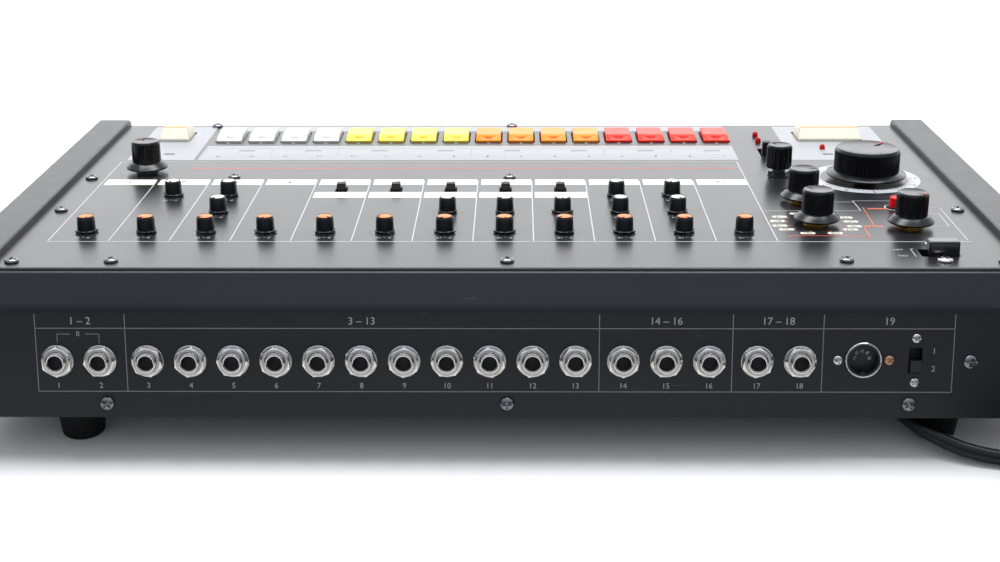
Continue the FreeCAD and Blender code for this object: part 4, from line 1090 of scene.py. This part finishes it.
def makeJackBody():
    width, height, depth = jack["body"]
    clearSelection()
    bpy.ops.mesh.primitive_cube_add(size=1)
    body = bpy.context.object
    body.name = "jackBodyShape"
    bpy.ops.object.mode_set(mode="EDIT")
    bpy.ops.transform.resize(value=(width * mm, height * mm, (depth - 1.3) * mm))
    bpy.ops.transform.translate(value=(0, 0, -(depth + 1.3) / 2 * mm))
    selectWhere(body, lambda face: face.normal.z < -0.9, "FACE")
    bpy.ops.mesh.inset(thickness=1.2 * mm)
    finishShape(body, 0.4)
    return body


def placeJacks():
    bush = makeBush()
    spring = makeSpring()
    body = makeJackBody()
    nut = makeNut("jackNutShape", jack["across"], jack["nutLow"], jack["nutTop"], jack["bush"] + 0.03)
    washer = makeWasher("jackWasherShape", jack["washer"], jack["nutLow"], jack["bush"] + 0.03)
    pieces = (
        (bush, "Bush", nickelFinish, "jack_metal", "jack_sockets"),
        (spring, "Spring", brassFinish, "jack_metal", "jack_sockets"),
        (body, "Body", switchFinish, "jack_metal", "jack_sockets"),
        (nut, "Nut", nickelFinish, "nut_chrome", "jack_nuts"),
        (washer, "Washer", nickelFinish, "nut_chrome", "jack_nuts"),
    )
    for index, x in enumerate(jackSpots()):
        for shape, tail, material, slot, node in pieces:
            turn = index * jack["turn"] if tail == "Nut" else 0.0
            piece = copyOf(shape, f"jack{index + 1:02d}{tail}")
            seat(piece, onRear(x, jack["row"], turn))
            wearPiece(piece, material, "case")
            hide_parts(node)
    for shape, _, _, _, _ in pieces:
        bpy.data.objects.remove(shape)


placeJacks()
print("jacks made")


# Round sync socket: a nickel shell round a black insert with five contacts and a key
din = {"x": -161.0, "row": 27.3, "shell": 8.3, "inner": 7.55, "reach": 0.7, "depth": 15.0, "floor": -4.3, "recess": 6.7}


def placeDin():
    place = onRear(din["x"], din["row"])
    shell = din["shell"]
    inner = din["inner"]
    ring = startDisc("dinShell", shell - 0.4, -din["depth"], 64)
    growDisc([
        (shell - 0.4, -din["depth"]), (shell, -din["depth"] + 0.4), (shell, din["reach"] - 0.25), (shell - 0.2, din["reach"]),
        (inner + 0.15, din["reach"]), (inner, din["reach"] - 0.15), (inner, -din["depth"] + 1.0),
    ])
    finishShape(ring)
    insert = startDisc("dinInsert", inner - 0.05, -din["depth"] + 1.2, 64)
    top = din["reach"] - 0.25
    growDisc([
        (inner - 0.05, -din["depth"] + 1.2), (inner - 0.05, top), (din["recess"] + 0.15, top), (din["recess"], top - 0.15),
        (din["recess"], din["floor"]),
    ])
    finishShape(insert)
    flange = makeLever("dinFlange", 29.0, 18.0, -2.2, -1.2, 1.0)
    finishShape(flange, 0.3)
    drill = startDisc("flangeDrill", shell + 0.05, -4, 64)
    growDisc([(shell + 0.05, -4), (shell + 0.05, 1)])
    finishShape(drill)
    cutWith(flange, drill)
    pieces = [(ring, nickelFinish), (insert, switchFinish), (flange, nickelFinish)]
    for pin in range(5):
        angle = math.pi * pin / 4
        contact = startDisc(f"dinContact{pin + 1}", 0.95, din["floor"], 24)
        growDisc([(0.95, din["floor"]), (0.95, din["floor"] + 0.5), (0.85, din["floor"] + 0.65), (0.75, din["floor"] + 0.5),
                  (0.75, din["floor"] - 2.8)])
        finishShape(contact)
        seat(contact, Matrix.Translation((3.4 * mm * math.cos(angle), 3.4 * mm * math.sin(angle), 0)))
        pieces.append((contact, nickelFinish))
    key = makeLever("dinKey", 2.6, 1.2, din["floor"] - 0.1, top - 0.4, 0.9)
    finishShape(key, 0.2)
    seat(key, Matrix.Translation((0, -(din["recess"] - 0.5) * mm, 0)))
    pieces.append((key, switchFinish))
    for piece, material in pieces:
        seat(piece, place)
        wearPiece(piece, material, "case")
        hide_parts("din_socket")


placeDin()
print("sync socket made")


# Screws: a domed head with a cross recess on a plain shank, one shape per size
screwShapes = {
    "case": {"head": 3.3, "high": 1.9, "shank": 1.5},
    "switch": {"head": 3.6, "high": 1.9, "shank": 1.5},
    "small": {"head": 2.2, "high": 1.2, "shank": 1.0},
}
panelScrews = [
    (181.6, 9.3), (0.0, 9.5), (-155.2, 10.5), (227.0, 8.5), (-227.0, 8.5), (227.0, 92.0), (227.0, 153.5), (-227.0, 92.0),
    (149.7, 155.7), (-0.5, 155.5), (180.1, 275.48), (-1.4, 275.48), (-180.1, 275.48),
]
rearScrews = [(182.4, 6.6), (0.0, 6.6), (-182.4, 6.6), (-209.1, 26.6)]


def makeScrew(name, size):
    head = size["head"]
    high = size["high"]
    screw = startDisc(name, size["shank"], -6.0, 40)
    growDisc([
        (size["shank"], -6.0), (size["shank"], 0.02), (head - 0.1, 0.02), (head, 0.15), (head, high * 0.35),
        (head - 0.12, high * 0.5), (head * 0.82, high * 0.78), (head * 0.55, high * 0.95), (head * 0.2, high),
    ])
    finishShape(screw, smooth=50)
    for turn in (0, 90):
        blade = makeLever("blade", head * 1.25, head * 0.27, high * 0.35, high + 1, 1.1)
        finishShape(blade)
        seat(blade, Matrix.Rotation(math.radians(turn), 4, "Z"))
        cutWith(screw, blade)
    bpy.ops.object.shade_smooth_by_angle(angle=math.radians(40))
    return screw


def placeScrews():
    shapes = {kind: makeScrew(kind + "ScrewShape", size) for kind, size in screwShapes.items()}
    rows = [("case", onPanel, spot, darkSteelFinish) for spot in panelScrews]
    rows += [("case", onRear, spot, darkSteelFinish) for spot in rearScrews]
    rows += [("switch", onPanel, spot, nickelFinish) for spot in ((-200.0, 10.3), (-200.0, 34.4))]
    rows += [("small", onRear, (-149.4, 27.3), chromeFinish), ("small", onRear, (-172.6, 27.3), rustyFinish)]
    rows += [("small", onRear, (-184.4, row), chromeFinish) for row in (16.9, 37.5)]
    for index, (kind, onFace, (x, row), material) in enumerate(rows):
        screw = copyOf(shapes[kind], f"screw{index + 1:02d}")
        seat(screw, onFace(x, row, random.uniform(0, 90)))
        wearPiece(screw, material, "case")
        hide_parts("case_screws")
    for shape in shapes.values():
        bpy.data.objects.remove(shape)


chromeFinish = makeMetal("chrome", shade(0.5, 0.5, 0.49), shade(0.25, 0.22, 0.18), 0.12, 0.1)
placeScrews()
print("screws made")


# Printed marks: flat shapes drawn on a face, with y up the panel or up the rear face, made into thin slabs of ink
def startPrint(name):
    clearSelection()
    bpy.ops.mesh.primitive_plane_add(size=1)
    marks = bpy.context.object
    marks.name = name
    bpy.ops.object.mode_set(mode="EDIT")
    bpy.ops.mesh.select_all(action="SELECT")
    bpy.ops.mesh.delete(type="VERT")
    return marks


def addBar(x, y, width, length, turn=0.0):
    spot = (x * mm, y * mm, 0)
    bpy.ops.mesh.primitive_plane_add(size=1, location=spot)
    bpy.ops.transform.resize(value=(width * mm, length * mm, 1), center_override=spot)
    if turn:
        bpy.ops.transform.rotate(value=-math.radians(turn), orient_axis="Z", center_override=spot)


def addLine(start, end, width=0.45):
    run = Vector(end) - Vector(start)
    middle = (Vector(end) + Vector(start)) / 2
    addBar(middle.x, middle.y, run.length + width, width, math.degrees(math.atan2(run.y, run.x)))


def addPath(points, width=0.45):
    for start, end in zip(points, points[1:]):
        addLine((start[0], -start[1]), (end[0], -end[1]), width)


def addRound(x, y, width, length):
    spot = (x * mm, y * mm, 0)
    bpy.ops.mesh.primitive_circle_add(vertices=28, radius=0.5, fill_type="NGON", location=spot)
    bpy.ops.transform.resize(value=(width * mm, length * mm, 1), center_override=spot)


def addPill(x, y, width, length):
    addBar(x, y, width - length, length)
    for side in (-1, 1):
        addRound(x + side * (width - length) / 2, y, length, length)


def addRing(x, y, inner, outer):
    spot = (x * mm, y * mm, 0)
    bpy.ops.mesh.select_mode(type="EDGE")
    bpy.ops.mesh.primitive_circle_add(vertices=96, radius=inner * mm, location=spot)
    bpy.ops.mesh.extrude_region_move(TRANSFORM_OT_translate={"value": (0, 0, 0)})
    bpy.ops.transform.resize(value=(outer / inner, outer / inner, 1), center_override=spot)


def addTicks(x, y, inner, outer, width, count, sweep):
    for step in range(count):
        angle = 90 - sweep / 2 + sweep * step / (count - 1)
        radians = math.radians(angle)
        middle = (inner + outer) / 2
        addBar(x + middle * math.cos(radians), y + middle * math.sin(radians), outer - inner, width, angle)


def finishPrint(marks, place, ink, thickness=0.05):
    bpy.ops.mesh.select_all(action="SELECT")
    bpy.ops.mesh.normals_make_consistent(inside=False)
    selectWhere(marks, lambda face: face.normal.z < 0, "FACE")
    bpy.ops.mesh.flip_normals()
    bpy.ops.object.mode_set(mode="OBJECT")
    thick = marks.modifiers.new("thick", "SOLIDIFY")
    thick.thickness = thickness * mm
    thick.offset = 1
    bpy.ops.object.modifier_apply(modifier="thick")
    seat(marks, place)
    wearPiece(marks, ink, "case")


def printNumbers(name, place, ink, entries, lift=0.0):
    words = []
    for text, x, y, size in entries:
        clearSelection()
        bpy.ops.object.text_add()
        word = bpy.context.object
        word.data.body = text
        word.data.size = size * mm
        word.data.align_x = "CENTER"
        word.data.align_y = "CENTER"
        word.data.extrude = 0.03 * mm
        word.data.resolution_u = 3
        bpy.ops.object.convert(target="MESH")
        seat(word, Matrix.Translation((x * mm, y * mm, (0.03 + lift) * mm)))
        words.append(word)
    clearSelection()
    for word in words:
        word.select_set(True)
    bpy.context.view_layer.objects.active = words[0]
    bpy.ops.object.join()
    words[0].name = name
    seat(words[0], place)
    wearPiece(words[0], ink, "case")


flat = onPanel(0, 0)
upright = onRear(0, 0)
columnXs = [204.4 - 28.98 * column for column in range(12)]


# The panel's frame lines, its pale bands and its strips above the knob columns
def printPanelLines():
    marks = startPrint("panelLines")
    for line in range(13):
        x = 219.4 - 28.98 * line
        addLine((x, -40.9), (x, -189.5 if line in (0, 12) else -149.0), 0.55)
    addLine((219.4, -39.5), (-219.4, -39.5), 0.7)
    addLine((219.7, -189.5), (-129.4, -189.5))
    addPath([(-129.7, 91.4), (-178.2, 91.4), (-177.6, 109.6), (-199.8, 109.5)])
    addPath([(-166.9, 107.5), (-177.8, 107.5)])
    addPath([(-205, 96.4), (-219.1, 96.4), (-218.8, 42), (-212, 42)])
    addPath([(-210, 85.5), (-216, 85.5), (-215.7, 64.7), (-208, 64.7)])
    addPath([(-188.3, 17.0), (-188.3, 28.4), (-189.6, 28.4)], 0.4)
    finishPrint(marks, flat, inks["white"])
    marks = startPrint("knobTicks")
    for x, row in [(x, 55.0) for x in columnXs] + toneSpots:
        addTicks(x, -row, 6.9, 8.0, 0.28, 11, 270)
    addTicks(199.6, -167.4, 13.4, 15.2, 0.45, 11, 270)
    addTicks(-147.3, -160.5, 10.2, 11.6, 0.35, 11, 270)
    finishPrint(marks, flat, inks["grey"])


toneSpots = [(columnXs[index], 89.2) for index in (2, 6, 7, 8, 9, 10)] + [(columnXs[index], 120.0) for index in (1, 2, 9, 10)]


def printBands():
    marks = startPrint("paleBands")
    addBar(23.5, -210.1, 307.1, 32.6)
    addBar(23.5, -269.0, 307.1, 12.1)
    finishPrint(marks, flat, inks["pale"], 0.04)
    marks = startPrint("creamStrips")
    for index, x in enumerate(columnXs):
        addBar(x - 0.2, -146.1, 26.7, 10.9)
        if 4 <= index <= 8:
            addBar(x, -121.0, 27.2, 10.9)
    for x, row in pillSpots:
        addPill(x, -row, 7.4, 3.4)
    finishPrint(marks, flat, inks["cream"], 0.04)
    marks = startPrint("bandLines")
    for row in (199.0, 204.5, 221.0):
        addLine((176.0, -row), (-129.0, -row), 0.35)
    for index in range(17):
        x = 175.9 - 19.25 * index
        addBar(x, -212.8, 0.35, 16.4 if index % 4 == 0 else 8.0)
    for index in range(8):
        addBar(152.0 - 38.5 * index, -215.2, 9.0, 3.2)
    finishPrint(marks, flat, inks["grey"], 0.07)


pillSpots = [
    (-135.5, 81.1), (-133.3, 73.5), (-133.3, 65.7), (-135.6, 59.4), (-144.8, 53.2), (-158, 53.2), (-166.6, 59.3),
    (-169.5, 64.7), (-169.4, 72.7), (-168, 79.7), (-145, 86.5), (-158, 86.5),
]


# The white fields round the start and tap buttons, each in four bars round its button's opening
def printFields():
    marks = startPrint("buttonFields")
    for left, right, low, high in ((-160.6, -220.6, -209.3, -170.2), (217.3, 179.4, 189.7, 208.9)):
        left, right = max(left, right), min(left, right)
        addBar((left + right) / 2, -215.0, left - right, 43.0)
        addBar((left + right) / 2, -267.4, left - right, 14.0)
        addBar((left + high) / 2, -248.45, left - high, 23.9)
        addBar((right + low) / 2, -248.45, low - right, 23.9)
    finishPrint(marks, flat, inks["pale"], 0.04)
    marks = startPrint("fieldMarks")
    addPill(195.8, -207.3, 6.5, 2.6)
    addPill(-182.9, -206.6, 6.5, 2.6)
    finishPrint(marks, flat, inks["dark"], 0.08)


# The tempo dial's scale, the orange marks and the dots at the keys
def printDialScale():
    marks = startPrint("tempoScale")
    addRing(-192.4, -154.0, 23.3, 30.0)
    addRing(-196.9, -97.5, 4.9, 5.7)
    for index in range(16):
        addRound(-122.375 + 19.25 * index, -233.4, 1.6, 1.6)
    finishPrint(marks, flat, inks["white"], 0.04)
    marks = startPrint("tempoTicks")
    addTicks(-192.4, -154.0, 23.3, 25.0, 0.35, 51, 300)
    addTicks(-192.4, -154.0, 25.0, 26.0, 0.5, 11, 300)
    finishPrint(marks, flat, inks["dark"], 0.07)
    marks = startPrint("orangeMarks")
    addLine((177.8, -175.2), (-126.6, -175.2), 0.9)
    addPath([(-180.3, 97.3), (-179.4, 65.5), (-173.7, 61.4), (-173.7, 46.5), (-168.2, 46.5)])
    addPath([(-135.4, 46.9), (-135.4, 49.1), (-168.7, 49.1), (-168.7, 46.9)])
    addPath([(-183, 95.2), (-193, 95.2)], 1.4)
    addPath([(-175, 64.7), (-183, 64.7)], 1.4)
    for x, row in pillSpots:
        inward = (Vector((-151.8, 68.9)) - Vector((x, row))).normalized() * 1.6
        addPath([(x + inward.x * 2.6, row + inward.y * 1.4), (x + inward.x * 3.3, row + inward.y * 2.1)], 0.6)
    finishPrint(marks, flat, inks["orange"])


def printPanelNumbers():
    entries = []
    for x, row in [(x, 55.0) for x in columnXs] + toneSpots:
        entries.append(("0 – 10", x, 9.3 - row, 2.9))
    entries += [("0", 190.6, -182.0, 2.6), ("10", 208.8, -182.0, 2.6), ("ON", -182.6, -18.0, 2.8), ("OFF", -182.2, -27.4, 2.8)]
    printNumbers("panelNumbers", flat, inks["white"], entries)
    entries = [(str(index + 1), x, -146.1, 6.0) for index, x in enumerate(columnXs)]
    entries += [(str(index + 1), x, -row, 2.5) for index, (x, row) in enumerate(pillSpots)]
    for step in range(11):
        angle = math.radians(240 - 30 * step)
        spot = (-192.4 + 27.9 * math.cos(angle), -154.0 + 27.9 * math.sin(angle))
        entries.append((str(step), spot[0], spot[1], 3.2))
    entries += [(str(index + 1), -122.375 + 19.25 * index, -201.7, 3.0) for index in range(16)]
    printNumbers("darkNumbers", flat, inks["dark"], entries, 0.06)


# Rear face: fields between thin lines, a heading over each and a number under every socket
def printRear():
    marks = startPrint("rearLines")
    for x in (213.4, 172.7, -41.7, -101.8, -142.5, -201.3):
        addLine((-x, 12.3), (-x, 48.3), 0.35)
    for low in (41.9, 12.3):
        addLine((-213.4, low), (201.3, low), 0.35)
    for points in (((-203.6, 35.1), (-203.6, 39.2), (-197.6, 39.2)), ((-190.6, 39.2), (-184.6, 39.2), (-184.6, 35.1))):
        for start, end in zip(points, points[1:]):
            addLine(start, end, 0.3)
    finishPrint(marks, upright, inks["grey"])
    headings = [("1 – 2", -193.0), ("3 – 13", -65.5), ("14 – 16", 71.7), ("17 – 18", 122.1), ("19", 171.9)]
    entries = [(text, x, 45.2, 4.9) for text, x in headings]
    entries += [(str(index + 1), -x, 15.0, 3.6) for index, x in enumerate(jackSpots())]
    entries += [("0", -194.1, 39.2, 3.2), ("1", 192.6, 31.4, 3.8), ("2", 192.6, 23.2, 3.8)]
    printNumbers("rearNumbers", upright, inks["rear"], entries)


inks["rear"] = makeInk("inkRear", shade(0.34, 0.36, 0.38), shade(0.24, 0.26, 0.28))
printPanelLines()
printBands()
printFields()
printDialScale()
printPanelNumbers()
printRear()
print("print made")


# Studio: white surroundings, one large soft light overhead and a low one behind
studio = {"floorSize": 6.0, "floorColour": shade(0.9, 0.91, 0.93)}


def lightPanel(name, place, target, size, power):
    data = bpy.data.lights.new(name, "AREA")
    data.shape = "RECTANGLE"
    data.size, data.size_y = size
    data.energy = power
    lamp = bpy.data.objects.new(name, data)
    bpy.context.collection.objects.link(lamp)
    ahead = Vector(target) - Vector(place)
    lamp.matrix_world = Matrix.Translation(place) @ ahead.to_track_quat("-Z", "Y").to_matrix().to_4x4()
    lamp.visible_camera = False
    return lamp


lightPanel("overheadLight", (0.0, -0.34, 1.35), (0, 0.05, 0.0), (1.5, 0.42), 25)
lightPanel("backLight", (0.0, -1.9, 0.55), (0, 0, 0.05), (3.2, 0.9), 12)


def makeWorld():
    world = bpy.data.worlds.new("studioWorld")
    bpy.context.scene.world = world
    world.use_nodes = True
    tree = world.node_tree
    start = Signal(tree)
    ray = start.make("ShaderNodeLightPath", {}, {}, "Is Camera Ray")
    glossy = start.make("ShaderNodeLightPath", {}, {}, "Is Glossy Ray")
    direction = start.make("ShaderNodeTexCoord", {}, {}, "Generated")
    behind = direction.part(1).between(-0.8, 0.15)
    height = direction.part(2)
    low = height.between(0.0, 0.75)
    front = low.blend(shade(0.02, 0.021, 0.026), shade(0.85, 0.9, 1.08))
    reflected = behind.blend(shade(1.25, 1.27, 1.3), front)
    seen = glossy.blend(shade(0.45, 0.46, 0.48), reflected)
    colour = ray.blend(seen, shade(1, 1, 1))
    tree.links.new(colour.socket, tree.nodes["Background"].inputs["Color"])


makeWorld()


def makeFloor():
    clearSelection()
    bpy.ops.mesh.primitive_plane_add(size=studio["floorSize"])
    floor = bpy.context.object
    floor.name = "floor"

    def paint(place):
        return {"Base Color": place.noise(3).blend(studio["floorColour"], studio["floorColour"])}
    floor.data.materials.append(newMaterial("studioFloor", {"Roughness": 0.35}, paint))


makeFloor()
bpy.context.scene.view_settings.view_transform = "Standard"
print("studio lit")
